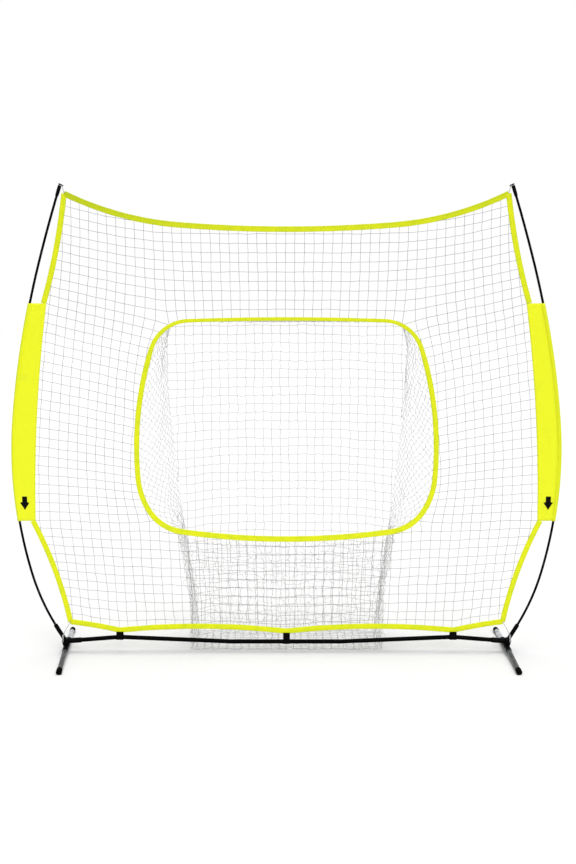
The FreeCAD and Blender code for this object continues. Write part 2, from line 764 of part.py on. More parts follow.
def sleeve_cloth_face(extra):
    """The sleeve's flat cloth between its inner edge and the pole, widened by extra all round."""
    bottom, middle, top = sleeve_inner_edge()
    shift = V(-extra, 0, 0)
    low_z, high_z = SLEEVE_BOTTOM_Z - extra, SLEEVE_TOP_Z + extra
    bottom = front(bottom.x, low_z) + shift
    top = front(top.x, high_z) + shift
    outline = [arc(bottom, middle + shift, top),
               Part.makeLine(top, front(FAR, high_z)),
               Part.makeLine(front(FAR, high_z), front(FAR, low_z)),
               Part.makeLine(front(FAR, low_z), bottom)]
    outside = Part.Face(Part.Wire(outline))
    pole = POLE.edges(0, POLE.length)
    root, tip = POLE.at(0)[0], POLE.at(POLE.length)[0]
    bow = Part.Face(Part.Wire(pole + [Part.makeLine(tip, front(0, tip.z)),
                                      Part.makeLine(front(0, tip.z), front(0, root.z)),
                                      Part.makeLine(front(0, root.z), root)]))
    return outside.common(bow)


def sleeve():
    """The right-hand pole sleeve: flat cloth with a round channel for the pole."""
    cloth = thick(sleeve_cloth_face(0.0).Faces[0], SLEEVE_CLOTH)
    bore = FERRULE_RADIUS + SEAT
    low = pole_at_height(SLEEVE_BOTTOM_Z - 2 * bore)
    high = pole_at_height(SLEEVE_TOP_Z + 2 * bore)
    between = slab(V(0, -FAR, SLEEVE_BOTTOM_Z), V(FAR, FAR, SLEEVE_TOP_Z))
    channel = POLE.bar(low, high, bore + SLEEVE_CHANNEL_WALL).common(between)
    return cloth.fuse(channel).cut(POLE.bar(low, high, bore)).removeSplitter()


def mouth_half_edges():
    points = [front(0, MOUTH_TOP_Z)] + [front(x, z) for x, z in MOUTH_POINTS] + [front(0, MOUTH_BOTTOM_Z)]
    return tangent_arcs(points, 0.0)


def mouth_edges():
    right = mouth_half_edges()
    return right + [straight_out(mirrored(edge)) for edge in right[::-1]]


def mouth_half_width(z):
    """Half the mouth's width at a height."""
    level = Part.makeLine(front(1, z), front(FAR, z))
    near = Part.Wire(mouth_half_edges()).distToShape(level)
    return max(pair[0].x for pair in near[1])


def strike_zone_band():
    return strip(mouth_edges(), BAND_WIDTH, BAND_THICKNESS)


def net_region(margin):
    """The netting's flat area: what the hems, sleeves and band leave, less a margin."""
    edges = bottom_hem_edges()[2:] + lower_hem_edges() + [arc(*sleeve_inner_edge())] + upper_hem_edges()
    edges += [straight_out(e) for e in top_hem_edges()[:1:-1]]
    right = samples(edges, OUTLINE_STEPS)
    left = [front(-p.x, p.z) for p in right[::-1] if p.x > NEAR]
    outline = right + [front(0, TOP_HEM_Z)] + left
    area = Part.Face(Part.makePolygon(outline + outline[:1]))
    side_reach = SIDE_HEM_WIDTH / 2 + margin
    side = [sleeve_cloth_face(margin)] + ribbon(upper_hem_edges() + lower_hem_edges(), side_reach)
    side += [disc(end, side_reach) for end in side_hem_ends()]
    cuts = ribbon(top_hem_edges(), TOP_HEM_WIDTH / 2 + margin)
    cuts += ribbon(bottom_hem_edges(), BOTTOM_HEM_WIDTH / 2 + margin)
    cuts += side + [mirrored(face) for face in side]
    cuts += ribbon(mouth_edges(), BAND_WIDTH / 2 + margin)
    cuts += [Part.Face(Part.Wire(mouth_edges()))]
    return area.cut(cuts)


def net_blocks():
    """The rectangles that share the netting out among its four panels."""
    beside_top = NET_ROW_Z + NET_PITCH * NET_ROWS_BESIDE_MOUTH
    strip_width = NET_PITCH * NET_COLUMNS_PER_STRIP
    columns = [-FAR, -strip_width, 0.0, strip_width, FAR]
    blocks = {"net_top_panel": [], "net_bottom_panel": [], "net_left_panel": [], "net_right_panel": []}
    for low_x, high_x in zip(columns[:-1], columns[1:]):
        blocks["net_top_panel"].append((low_x, beside_top, high_x, FAR))
        blocks["net_bottom_panel"].append((low_x, 0.0, high_x, NET_ROW_Z))
    for row in range(0, NET_ROWS_BESIDE_MOUTH, NET_ROWS_PER_SLAB):
        low_z = NET_ROW_Z + NET_PITCH * row
        high_z = low_z + NET_PITCH * NET_ROWS_PER_SLAB
        blocks["net_left_panel"].append((-FAR, low_z, 0.0, high_z))
        blocks["net_right_panel"].append((0.0, low_z, FAR, high_z))
    return blocks


def net_cells():
    """The gaps of the whole netting, as rectangles on a square grid."""
    gap = (NET_PITCH - NET_STRAND) / 2
    columns = math.ceil(max(p.x for p in sleeve_inner_edge()) / NET_PITCH)
    rows_down = math.ceil(NET_ROW_Z / NET_PITCH)
    rows_up = math.ceil((POLE.at(POLE.length)[0].z - NET_ROW_Z) / NET_PITCH)
    cells = []
    for column in range(-columns, columns):
        x = (column + 0.5) * NET_PITCH
        for row in range(-rows_down, rows_up):
            z = NET_ROW_Z + (row + 0.5) * NET_PITCH
            cells.append(rectangle(x - gap, z - gap, x + gap, z + gap))
    return cells


def net_panels():
    """Each panel's pieces of netting: flat faces with their gaps cut out, given a thickness."""
    cloth = net_region(SEAT)
    gaps = net_region(SEAT + NET_STRAND / 2).common(Part.makeCompound(net_cells()))
    wanted = [gap for gap in gaps.Faces if gap.Area > SMALLEST_GAP]
    panels = {}
    for name, blocks in net_blocks().items():
        panels[name] = []
        for low_x, low_z, high_x, high_z in blocks:
            for face in cloth.common(rectangle(low_x, low_z, high_x, high_z)).Faces:
                holes = [gap.OuterWire for gap in wanted if face.isInside(gap.CenterOfMass, NEAR, True)]
                netting = Part.makeFace([face.OuterWire] + holes, "Part::FaceMakerBullseye")
                panels[name] += [thick(mesh, NET_THICKNESS) for mesh in netting.Faces]
    print("gaps in the netting:", len(wanted))
    return panels


def facet(front_edge, back_edge, inward):
    """A thin sheet from a front edge to a back edge. Each corner has its own inward step."""
    (front_a, front_b), (back_a, back_b), (step_a, step_b) = front_edge, back_edge, inward
    near = [front_a, front_b, front_b + step_b, front_a + step_a]
    far = [back_a, back_b, back_b + step_b, back_a + step_a]
    wires = [Part.makePolygon(corners + corners[:1]) for corners in (near, far)]
    return Part.makeLoft(wires, True, True)


def pocket_outline():
    """The right half of the pocket's outline, from the floor to the middle of its roof:
    front point, back point and inward step of each corner."""
    sheet = POCKET_CLOTH
    band_back = BAND_THICKNESS / 2 + SEAT
    floor_top = POCKET_FLOOR_Z + sheet + SEAT
    side_in = V(-sheet, 0, 0)
    corners = [(V(POCKET_FLOOR_HALF, APRON_SETBACK, floor_top),
                V(POCKET_FLOOR_HALF, POCKET_DEPTH, floor_top), side_in)]
    for number, (z, front_half, back_half) in enumerate(APRON_PROFILE):
        setback = APRON_SETBACK if number == 0 else band_back
        corners.append((V(front_half, setback, z), V(back_half, POCKET_DEPTH, z), side_in))
    for z, back_half in POCKET_SIDE_PROFILE:
        last = z == POCKET_SIDE_PROFILE[-1][0]
        back_z = POCKET_BACK_EAVES_Z if last else z
        step = V(-sheet, 0, -sheet) if last else side_in
        corners.append((V(mouth_half_width(z), band_back, z), V(back_half, POCKET_DEPTH, back_z), step))
    roof_x, roof_z = MOUTH_POINTS[0]
    corners.append((V(roof_x, band_back, roof_z),
                    V(POCKET_BACK_ROOF_HALF, POCKET_DEPTH, POCKET_BACK_TOP_Z), V(0, 0, -sheet)))
    corners.append((V(0, band_back, MOUTH_TOP_Z), V(0, POCKET_DEPTH, POCKET_BACK_TOP_Z), V(0, 0, -sheet)))
    return corners


def between(first, second, share):
    return first + (second - first) * share


def facet_gaps(front_edge, back_edge, inward):
    """Cutters for the gaps of one facet's netting, in even rows and columns."""
    (front_a, front_b), (back_a, back_b), steps = front_edge, back_edge, inward
    cuts = []
    along = (front_b - front_a).Length
    deep = (back_a - front_a).Length
    rows, columns = int(along / POCKET_PITCH + 0.5), int(deep / POCKET_PITCH + 0.5)
    for row in range(rows):
        for column in range(columns):
            s = [(row + share) / rows for share in cell_share(along / rows)]
            t = [(column + share) / columns for share in cell_share(deep / columns)]
            edges = []
            for depth in t:
                a, b = between(front_a, back_a, depth), between(front_b, back_b, depth)
                step_a, step_b = [between(steps[0], steps[1], share) * POCKET_CUT for share in s]
                edges.append((between(a, b, s[0]) - step_a * 0.5, between(a, b, s[1]) - step_b * 0.5))
            cuts.append(facet(edges[0], edges[1], (step_a, step_b)))
    return cuts


def cell_share(pitch):
    """Where a gap starts and ends, as shares of its cell."""
    border = POCKET_STRAND / 2 / pitch
    return border, 1 - border


def pocket_facets(corners):
    """The netting from each corner to the next one, with its gaps."""
    made = []
    for (front_a, back_a, step_a), (front_b, back_b, step_b) in zip(corners[:-1], corners[1:]):
        edges = (front_a, front_b), (back_a, back_b), (step_a, step_b)
        sheet, gaps = facet(*edges), facet_gaps(*edges)
        made.append(sheet.cut(gaps) if gaps else sheet)
    return made


def grid_gaps(outline, y):
    """The gaps of a square grid within an upright outline at a depth, as faces."""
    area = Part.Face(Part.makePolygon(outline + outline[:1]))
    inner = area.makeOffset2D(-POCKET_STRAND)
    box = area.BoundBox
    gap = (POCKET_PITCH - POCKET_STRAND) / 2
    cells = []
    columns = int(box.XMax / POCKET_PITCH) + 1
    rows = int(box.ZMax / POCKET_PITCH) + 1
    for column in range(-columns, columns + 1):
        for row in range(rows + 1):
            x, z = column * POCKET_PITCH, (row + 0.5) * POCKET_PITCH
            cells.append(rectangle(x - gap, z - gap, x + gap, z + gap).translated(V(0, y, 0)))
    gaps = inner.common(Part.makeCompound(cells))
    return [face for face in gaps.Faces if face.Area > SMALLEST_GAP]


def pocket_back():
    """The flat sheet across the pocket's back edges."""
    right = [back for _, back, _ in pocket_outline()]
    left = [V(-p.x, p.y, p.z) for p in right[-2::-1]]
    outline = right + left
    sheet = Part.Face(Part.makePolygon(outline + outline[:1])).extrude(V(0, POCKET_CLOTH, 0))
    return sheet.cut([gap.extrude(V(0, POCKET_CLOTH, 0)) for gap in grid_gaps(outline, POCKET_DEPTH)])


def pocket_apron():
    """The front sheet below the mouth, from the band down to the floor."""
    trim = POCKET_CLOTH + SEAT
    levels = []
    for corner, _, _ in pocket_outline()[:3]:
        half = corner.x - trim
        levels.append([V(-half, corner.y, corner.z), V(half, corner.y, corner.z),
                       V(half, corner.y + POCKET_CLOTH, corner.z),
                       V(-half, corner.y + POCKET_CLOTH, corner.z)])
    made = []
    for low, high in zip(levels[:-1], levels[1:]):
        wires = [Part.makePolygon(points + points[:1]) for points in (low, high)]
        outline = [front(p.x, p.z) for p in (low[0], low[1], high[1], high[0])]
        gaps = [gap.extrude(V(0, POCKET_DEPTH, 0)) for gap in grid_gaps(outline, 0.0)]
        made.append(Part.makeLoft(wires, True, True).cut(gaps))
    return made


def pocket_floor():
    return slab(V(-POCKET_FLOOR_HALF, APRON_SETBACK, POCKET_FLOOR_Z),
                V(POCKET_FLOOR_HALF, POCKET_DEPTH + POCKET_CLOTH, POCKET_FLOOR_Z + POCKET_CLOTH))


def bar_strap(x, axis_z, slope, hem_z):
    """A strap round the bar, with a tab up to the bottom hem."""
    bore = BAR_RADIUS + STRAP_WIDTH / 2 * slope + SEAT
    outside = bore + STRAP_THICKNESS
    left, right = V(x - STRAP_WIDTH / 2, 0, axis_z), V(x + STRAP_WIDTH / 2, 0, axis_z)
    tab = slab(V(left.x, -STRAP_THICKNESS / 2, axis_z + bore + STRAP_THICKNESS / 2),
               V(right.x, STRAP_THICKNESS / 2, hem_z - BOTTOM_HEM_WIDTH / 2 - SEAT))
    return rod(left, right, outside).fuse(tab).cut(rod(left, right, bore)).removeSplitter()


def bar_straps():
    slope = abs(bar_heading(2).z / bar_heading(2).x)
    side_z = BOTTOM_HEM_Z + STRAP_HEM_RISE
    side = bar_strap(ELBOW_X, ELBOW_Z, slope, side_z - 2 * SEAT)
    middle = bar_strap(0.0, BAR_MIDDLE_Z, 0.0, BOTTOM_HEM_Z)
    return [mirrored(side), middle, side]


def foot_run():
    """The foot's axis in its own upright plane, from the front end to the rear end."""
    slope = math.degrees(math.atan2(FOOT_APEX_Z - FOOT_TIP_AXIS_Z, FOOT_HALF_LENGTH))
    bend = FOOT_BEND_RADIUS * math.radians(2 * slope)
    lead = FOOT_BEND_RADIUS * math.tan(math.radians(slope))
    leg = FOOT_HALF_LENGTH / math.cos(math.radians(slope)) - lead
    stretches = [[leg, 90 - slope, 90 - slope], [bend, 90 - slope, 90 + slope], [leg, 90 + slope, 90 + slope]]
    return Run((-FOOT_HALF_LENGTH, FOOT_TIP_AXIS_Z), lambda u, v: V(0, u, v), stretches)


def stud_hole():
    return rod(V(0, 0, 0), V(0, 0, HUB_TOP_Z), STUD_RADIUS + PIVOT_FIT)


def foot_pieces():
    """One foot about its own pivot: tube, saddle, two end caps and the spacer under the hub."""
    run = foot_run()
    middle = run.length / 2
    tube_end = FOOT_CAP_END
    bar = run.pipe(tube_end, run.length - tube_end, FOOT_RADIUS, FOOT_RADIUS - FOOT_WALL)
    saddle_radius = FOOT_RADIUS + NEAR + SADDLE_WALL
    rear = middle + SADDLE_REAR
    saddle = run.bar(middle - SADDLE_FRONT, rear, saddle_radius)
    collar = run.bar(rear - COLLAR_LENGTH, rear, saddle_radius + COLLAR_STEP)
    saddle = saddle.fuse(collar).cut(run.bar(middle - SADDLE_FRONT, rear, FOOT_RADIUS + NEAR))
    spacer_top = HUB_UNDERSIDE_Z - SEAT
    spacer = rod(V(0, 0, spacer_top - SPACER_DEPTH), V(0, 0, spacer_top), SPACER_RADIUS)
    spacer = spacer.cut(run.bar(middle - 4 * SPACER_RADIUS, middle + 4 * SPACER_RADIUS, saddle_radius + NEAR))
    pieces = {"foot_tube": bar, "foot_saddle": saddle, "pivot_spacer": spacer}
    for name in pieces:
        pieces[name] = pieces[name].cut(stud_hole()).removeSplitter()
    pieces["front_foot_cap"] = foot_cap(run, 0.0, FOOT_CAP_GRIP + FOOT_CAP_END)
    pieces["rear_foot_cap"] = foot_cap(run, run.length, run.length - FOOT_CAP_GRIP - FOOT_CAP_END)
    return pieces


def foot_cap(run, outer, inner):
    """A rubber cap over one end of the foot, cut flat where it stands on the floor."""
    tip = run.at(outer)[0]
    mouth = run.at(inner)[0]
    way = (mouth - tip).normalize()
    body = rod(tip, mouth, FOOT_RADIUS + NEAR + FOOT_CAP_WALL)
    rim = [e for e in body.Edges if (e.CenterOfMass - tip).Length < NEAR]
    body = body.makeFillet(FOOT_CAP_ROUND, rim)
    bore = rod(tip + way * (FOOT_CAP_END - NEAR), mouth, FOOT_RADIUS + NEAR)
    return body.cut(bore).cut(slab(V(-FAR, -FAR, -FAR), V(FAR, FAR, 0)))


def place_foot(shape, side):
    """Move a foot's piece under its hub, turned as the foot stands."""
    sign = SIDES[side]
    yaw = LEFT_FOOT_YAW if side == "left" else RIGHT_FOOT_YAW
    moved = shape.copy()
    moved.rotate(V(0, 0, 0), V(0, 0, 1), yaw)
    return moved.translated(V(sign * HUB_X, 0, 0))


def saddle_underside_z():
    """Height of the saddle's underside where the rim of the pivot's washer meets it."""
    run = foot_run()
    axis_z = run.at(run.length / 2 + WASHER_RADIUS)[0].z
    return axis_z - FOOT_RADIUS - NEAR - SADDLE_WALL


def pivot_parts():
    """The right-hand pivot stud, with the washer and nut that hold the foot up to the hub."""
    washer_top = saddle_underside_z() - SEAT
    nut_top = washer_top - WASHER_THICKNESS
    stud_low = nut_top - NUT_HEIGHT - STUD_PAST_NUT
    stud = rod(front(HUB_X, stud_low), front(HUB_X, STUD_TOP_Z), STUD_RADIUS)
    rim = [e for e in stud.Edges if abs(e.CenterOfMass.z - stud_low) < 1e-6]
    stud = stud.makeChamfer(STUD_CHAMFER, rim)
    hole = rod(front(HUB_X, 0), front(HUB_X, FAR), STUD_RADIUS + NEAR)
    washer = rod(front(HUB_X, nut_top), front(HUB_X, washer_top), WASHER_RADIUS).cut(hole)
    corner = NUT_FLATS / math.sqrt(3)
    nut_low = nut_top - NUT_HEIGHT
    turns = [math.radians(60 * i) for i in range(6)]
    ring = [V(HUB_X + corner * math.cos(a), corner * math.sin(a), nut_low) for a in turns]
    nut = Part.Face(Part.makePolygon(ring + ring[:1])).extrude(V(0, 0, NUT_HEIGHT)).cut(hole)
    return stud, washer, nut


def build_base():
    """The bar's tubes, connectors, buttons and cord, the hubs and their pivots."""
    pivot = dict(zip(("pivot_studs", "pivot_washers", "pivot_nuts"), pivot_parts()))
    pairs = {"hub": hub(), "bar_arm": bar_arm(), "bar_section": bar_section(), "bar_elbow": bar_elbow(),
             "snap_button": snap_button()}
    for side, sign in SIDES.items():
        for name, shape in pairs.items():
            add(side + "_" + name, [on_side(shape, sign)])
        leaf = leaf_spring()
        leaf = leaf[0].multiFuse(leaf[1:]).removeSplitter()
        add(side + "_button_spring", [on_side(leaf, sign)])
    add("centre_bar_section", [centre_bar_section()])
    joint = bent_connector(1)
    add("bar_connectors", [mirrored(joint), joint])
    rivet = elbow_rivet()
    add("elbow_rivets", [mirrored(rivet), rivet])
    add("bar_shock_cord", [bar_shock_cord()])
    for name, shape in pivot.items():
        add(name, [mirrored(shape), shape])


def build_poles():
    """The pole sections, their ferrules and cords, and the tip caps."""
    sections = [pole_section(number) for number in range(3)]
    for side, sign in SIDES.items():
        for name, shape in zip(("lower", "middle", "upper"), sections):
            add(side + "_pole_" + name, [on_side(shape, sign)])
        add(side + "_tip_cap", [on_side(tip_cap(), sign)])
    ferrules = [pole_ferrule(1), pole_ferrule(2)]
    add("pole_ferrules", [mirrored(f) for f in ferrules] + ferrules)
    cord = pole_shock_cord()
    add("pole_shock_cords", [mirrored(cord), cord])


def build_feet():
    for side in SIDES:
        for name, shape in foot_pieces().items():
            add(side + "_" + name, [place_foot(shape, side)])


def build_net():
    """The netting, its hems, sleeves, band and pocket, and what ties it to the frame."""
    for name, solids in net_panels().items():
        add(name, solids)
    add("strike_zone_band", [strike_zone_band()])
    add("top_hem", [top_hem()])
    add("bottom_hem", [bottom_hem()])
    hems = side_hems()
    for side, sign in SIDES.items():
        add(side + "_side_hems", [on_side(hem, sign) for hem in hems])
        add(side + "_sleeve", [on_side(sleeve(), sign)])
    outline = pocket_outline()
    sides = pocket_facets(outline[:-1])
    add("pocket_right_side", sides)
    add("pocket_left_side", [mirrored(sheet) for sheet in sides])
    roof = pocket_facets(outline[-2:])
    add("pocket_roof", [mirrored(roof[0]), roof[0]])
    add("pocket_back", [pocket_back()])
    add("pocket_apron", pocket_apron())
    add("pocket_floor", [pocket_floor()])
    add("bar_straps", bar_straps())
    loop = top_corner_loop(room_at_corner(top_hem_edges(), TOP_HEM_WIDTH, upper_hem_edges()))
    add("top_corner_loops", [mirrored(loop), loop])
    cord = bottom_corner_cord(room_at_corner(bottom_hem_edges(), BOTTOM_HEM_WIDTH, lower_hem_edges()))
    add("bottom_corner_cords", [mirrored(cord), cord])
    hook = corner_hook()
    add("corner_hooks", [mirrored(hook), hook])


def main():
    os.makedirs("parts", exist_ok=True)
    build_base()
    build_poles()
    build_feet()
    build_net()


main()
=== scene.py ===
import json
import math

import bpy
import numpy as np
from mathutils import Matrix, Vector, noise


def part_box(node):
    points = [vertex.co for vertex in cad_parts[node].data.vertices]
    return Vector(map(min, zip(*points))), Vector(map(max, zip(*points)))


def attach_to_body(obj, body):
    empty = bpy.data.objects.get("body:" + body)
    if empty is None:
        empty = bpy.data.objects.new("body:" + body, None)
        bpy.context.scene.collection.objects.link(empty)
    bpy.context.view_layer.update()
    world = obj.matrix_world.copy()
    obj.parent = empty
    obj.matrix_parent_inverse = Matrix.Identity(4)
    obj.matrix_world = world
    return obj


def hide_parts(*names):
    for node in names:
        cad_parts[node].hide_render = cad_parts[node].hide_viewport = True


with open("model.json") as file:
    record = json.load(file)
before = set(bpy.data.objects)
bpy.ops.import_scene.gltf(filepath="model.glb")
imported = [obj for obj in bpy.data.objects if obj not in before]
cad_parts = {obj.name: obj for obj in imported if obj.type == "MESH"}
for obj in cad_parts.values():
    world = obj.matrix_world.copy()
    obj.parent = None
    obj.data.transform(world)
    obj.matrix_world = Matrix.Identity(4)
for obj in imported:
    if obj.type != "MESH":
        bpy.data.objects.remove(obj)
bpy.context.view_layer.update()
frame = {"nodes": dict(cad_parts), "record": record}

# Sizes and places in metres. X runs along the base bar, Y back through the net, Z is up.
SIDES = (("left", -1), ("right", 1))

# Camera, as the photograph was taken
CAMERA_PLACE = (0.007, -4.850, 1.720)
CAMERA_TILT = 7.975
CAMERA_LENS = 44.87

# Bow poles: a straight root, then tangent arcs
HUB_X = 1.031
HUB_Z = 0.054
POLE_ROOT = 0.075
POLE_ARC = 0.358
POLE_LEANS = (30.5, 14.9, 4.9, -5.6, -10.8, -15.5, -18.5)
POLE_STEP = 0.006

# Edges of the net
TOP_CORNER_IN = 0.019
TOP_CORNER_DOWN = 0.031
TOP_HEM_Z = 1.948
TOP_HEM_FLAT_X = 0.480
TOP_HEM_FLAT_RISE = 0.019
BOTTOM_CORNER = (1.007, 0.148)
BOTTOM_HEM_Z = 0.102
BOTTOM_CREST_RISE = 0.021
STRAP_X = 0.778
STRAP_HEM_RISE = 0.005
CORNER_HEM_BOW = 0.003
UPPER_HEM_BOW = 0.011
LOWER_HEM_BOW = 0.017
TOP_HEM_WIDTH = 0.025
BOTTOM_HEM_WIDTH = 0.026
SIDE_HEM_WIDTH = 0.025
HEM_THICKNESS = 0.005
EDGE_STEP = 0.008

# Sleeves on the poles
SLEEVE_BOTTOM_Z = 0.628
SLEEVE_TOP_Z = 1.622
SLEEVE_END_WIDTH = 0.074
SLEEVE_MIDDLE_WIDTH = 0.102
SLEEVE_CHANNEL = 0.0083
SLEEVE_LAYER_GAP = 0.0014
SLEEVE_CLOTH = 0.0005
SLEEVE_HEM = 0.020
SLEEVE_SEAM_IN = 0.004
CHANNEL_SEAM_IN = 0.006

# Mouth of the net, from the top round to the bottom of one half
MOUTH_TOP_Z = 1.552
MOUTH_BOTTOM_Z = 0.542
MOUTH_POINTS = ((0.442, 1.544), (0.6085, 1.418), (0.6785, 0.8215), (0.6305, 0.674), (0.481, 0.576))
BAND_THICKNESS = 0.005
BAND_WIDTHS = ((0.55, 0.027), (0.75, 0.024), (1.35, 0.024), (1.54, 0.0165))

# Netting. Curl is how far slack twine strays from a straight line between its knots
PITCH = 0.0415
TWINE_RADIUS = 0.0008
SLACK_TWINE_RADIUS = 0.0007
TWINE_SIDES = 4
KNOT_RADIUS = 0.0014
CURLS_PER_METRE = 38.0
FRONT_CURL = 0.0016
BACK_CURL = 0.006
WALL_CURL = 0.010
APRON_CURL = 0.026
FLOOR_CURL = 0.010
CURL_SEED = 1
LOWEST_TWINE_Z = 0.002
LOWEST_KNOT_Z = 0.003

# Pocket, with the bag that hangs below the mouth
POCKET_BACK_Y = 0.296
APRON_Y = 0.034
BAG_TOP_Z = 0.546
FLOOR_HALF = 0.427
WALL_GATHER = 0.62
WALL_TURN = 38.0
WALL_SAG = 0.022
BAG_WALL_SAG = 0.3 * WALL_SAG
SAG_ABOVE_Z = 0.6
BACK_HALF_WIDTHS = ((0.003, 0.427), (0.280, 0.458), (BAG_TOP_Z, 0.500), (0.650, 0.512), (0.760, 0.524),
                    (0.960, 0.546), (1.200, 0.564), (1.403, 0.573), (1.503, 0.568))
APRON_HALF_WIDTHS = ((0.003, 0.447), (0.280, 0.455), (BAG_TOP_Z, 0.497))
ROOF_BACK = (0.520, 1.530)
CORNER_Z = 1.403


# Shader maths


class Number:
    """A value inside a shader. Plain arithmetic on it adds the Math nodes."""

    def __init__(self, nodes, socket):
        self.nodes, self.socket = nodes, socket

    def through(self, operation, *others, clamp=False):
        made = self.nodes.node("ShaderNodeMath", {"operation": operation, "use_clamp": clamp},
                               dict(enumerate((self, *others))))
        return Number(self.nodes, made.outputs[0])

    def __add__(self, other):
        return self.through("ADD", other)

    def __rsub__(self, other):
        return self.through("MULTIPLY_ADD", -1.0, other)

    def __mul__(self, other):
        return self.through("MULTIPLY", other)

    __radd__ = __add__

    def wave(self, length):
        """A sine of the value with this wavelength."""
        return (self * (2 * math.pi / length)).through("SINE")

    def between(self, low, high):
        """0 below low, 1 above high and a smooth step between them."""
        made = self.nodes.node("ShaderNodeMapRange", {"interpolation_type": "SMOOTHSTEP"},
                               {"Value": self, "From Min": low, "From Max": high})
        return Number(self.nodes, made.outputs[0])


class Nodes:
    """Adds nodes to a node tree of any kind."""

    def __init__(self, tree):
        self.tree = tree

    def node(self, kind, settings=None, values=None):
        """A node of any kind: its settings first, then its inputs' values or links."""
        made = self.tree.nodes.new(kind)
        for name, value in (settings or {}).items():
            if name == "stops":
                self.set_stops(made.color_ramp, value)
            else:
                setattr(made, name, value)
        for key, value in (values or {}).items():
            self.fill(made.inputs[key], value)
        return made

    def set_stops(self, ramp, stops):
        while len(ramp.elements) < len(stops):
            ramp.elements.new(0.5)
        for element, (place, color) in zip(ramp.elements, stops):
            element.position, element.color = place, (*color, 1.0)

    def fill(self, socket, value):
        """Put a number, a colour, a Number or another node's output into a socket."""
        if isinstance(value, Number):
            self.tree.links.new(value.socket, socket)
        elif isinstance(value, bpy.types.NodeSocket):
            self.tree.links.new(value, socket)
        elif isinstance(value, tuple) and len(value) == 3 and socket.type == "RGBA":
            socket.default_value = (*value, 1.0)
        else:
            socket.default_value = value


class Finish(Nodes):
    """One procedural material, built round a Principled shader."""

    def __init__(self, name):
        self.material = bpy.data.materials.new(name)
        self.material.use_nodes = True
        super().__init__(self.material.node_tree)
        self.tree.nodes.clear()
        self.surface = self.node("ShaderNodeBsdfPrincipled")
        self.node("ShaderNodeOutputMaterial", None, {"Surface": self.surface.outputs[0]})

    def place(self, stretch=(1.0, 1.0, 1.0)):
        """The object's own coordinates, stretched along each axis."""
        own = self.node("ShaderNodeTexCoord").outputs["Object"]
        return self.node("ShaderNodeVectorMath", {"operation": "MULTIPLY"}, {0: own, 1: stretch}).outputs[0]

    def cloth_place(self):
        """Distance along and across the cloth, from the UV map, both in metres."""
        split = self.node("ShaderNodeSeparateXYZ", None, {0: self.node("ShaderNodeUVMap").outputs[0]})
        return Number(self, split.outputs[0]), Number(self, split.outputs[1])

    def axis(self, index):
        split = self.node("ShaderNodeSeparateXYZ", None, {0: self.place()})
        return Number(self, split.outputs[index])

    def noise(self, scale, detail=2.0, vector=None):
        made = self.node("ShaderNodeTexNoise", None,
                         {"Vector": vector or self.place(), "Scale": scale, "Detail": detail})
        return Number(self, made.outputs[0])

    def attribute(self, name):
        return Number(self, self.node("ShaderNodeAttribute", {"attribute_name": name}).outputs["Fac"])

    def mix(self, factor, first, second):
        """The first colour where the factor is 0, the second where it is 1."""
        made = self.node("ShaderNodeMix", {"data_type": "RGBA"}, {0: factor, 6: first, 7: second})
        return made.outputs[2]

    def tint(self, stops, value):
        return self.node("ShaderNodeValToRGB", {"stops": stops}, {0: value}).outputs[0]

    def bump(self, height, depth):
        values = {"Height": height, "Distance": depth, "Strength": 1.0}
        return self.node("ShaderNodeBump", None, values).outputs[0]

    def set(self, **values):
        """Fill sockets of the Principled shader, with _ for the spaces in their names."""
        for name, value in values.items():
            self.fill(self.surface.inputs[name.replace("_", " ")], value)


# Finishes

YELLOW = (0.87, 0.91, 0.012)
SHADED_YELLOW = (0.46, 0.56, 0.012)


def powder_black():
    f = Finish("black_powder_coat")
    grain, scuff = f.noise(900, 3), f.noise(14, 4, f.place((1, 1, 4)))
    worn = scuff.between(0.60, 0.78)
    f.set(Base_Color=f.mix(worn, (0.0008, 0.0008, 0.001), (0.003, 0.003, 0.0033)), Specular_IOR_Level=0.02,
          Roughness=0.42 + worn * 0.2 + grain * 0.08, Normal=f.bump(grain, 0.00015))
    return f.material


def blackened_steel():
    """The black finish on the elbows' rivets and spring buttons and on the bar's inner tubes."""
    f = Finish("blackened_steel")
    rub = f.noise(240, 3).between(0.5, 0.8)
    f.set(Base_Color=f.mix(rub, (0.002, 0.002, 0.002), (0.008, 0.008, 0.009)),
          Roughness=0.42 + rub * 0.15, Specular_IOR_Level=0.05)
    return f.material


def black_fibreglass():
    f = Finish("black_fibreglass")
    fibres = f.noise(260, 3, f.place((1, 1, 0.02)))
    f.set(Base_Color=f.mix(fibres.between(0.3, 0.8), (0.0008, 0.0008, 0.001), (0.003, 0.003, 0.0033)),
          Specular_IOR_Level=0.02, Roughness=0.34 + fibres * 0.16, Normal=f.bump(fibres, 0.0001))
    return f.material


def plated_tube():
    """Plated steel with painted reflection: bright behind the pivot and dark in front of it."""
    f = Finish("plated_foot_tube")
    cloud, brushed = f.noise(38, 4), f.noise(120, 2, f.place((1, 0.05, 1)))
    # painted reflection: the front half takes the dark copy of the steel, the rear half the bright copy
    front = (f.axis(1) * -1).between(-0.02, 0.05)
    bright = f.mix(cloud.between(0.35, 0.7), (0.60, 0.61, 0.63), (0.30, 0.31, 0.33))
    dark = f.mix(cloud.between(0.35, 0.7), (0.11, 0.115, 0.12), (0.05, 0.052, 0.056))
    f.set(Base_Color=f.mix(front, bright, dark), Metallic=0.9, Roughness=0.26 + brushed * 0.2 + cloud * 0.1,
          Normal=f.bump(brushed, 0.0001))
    return f.material


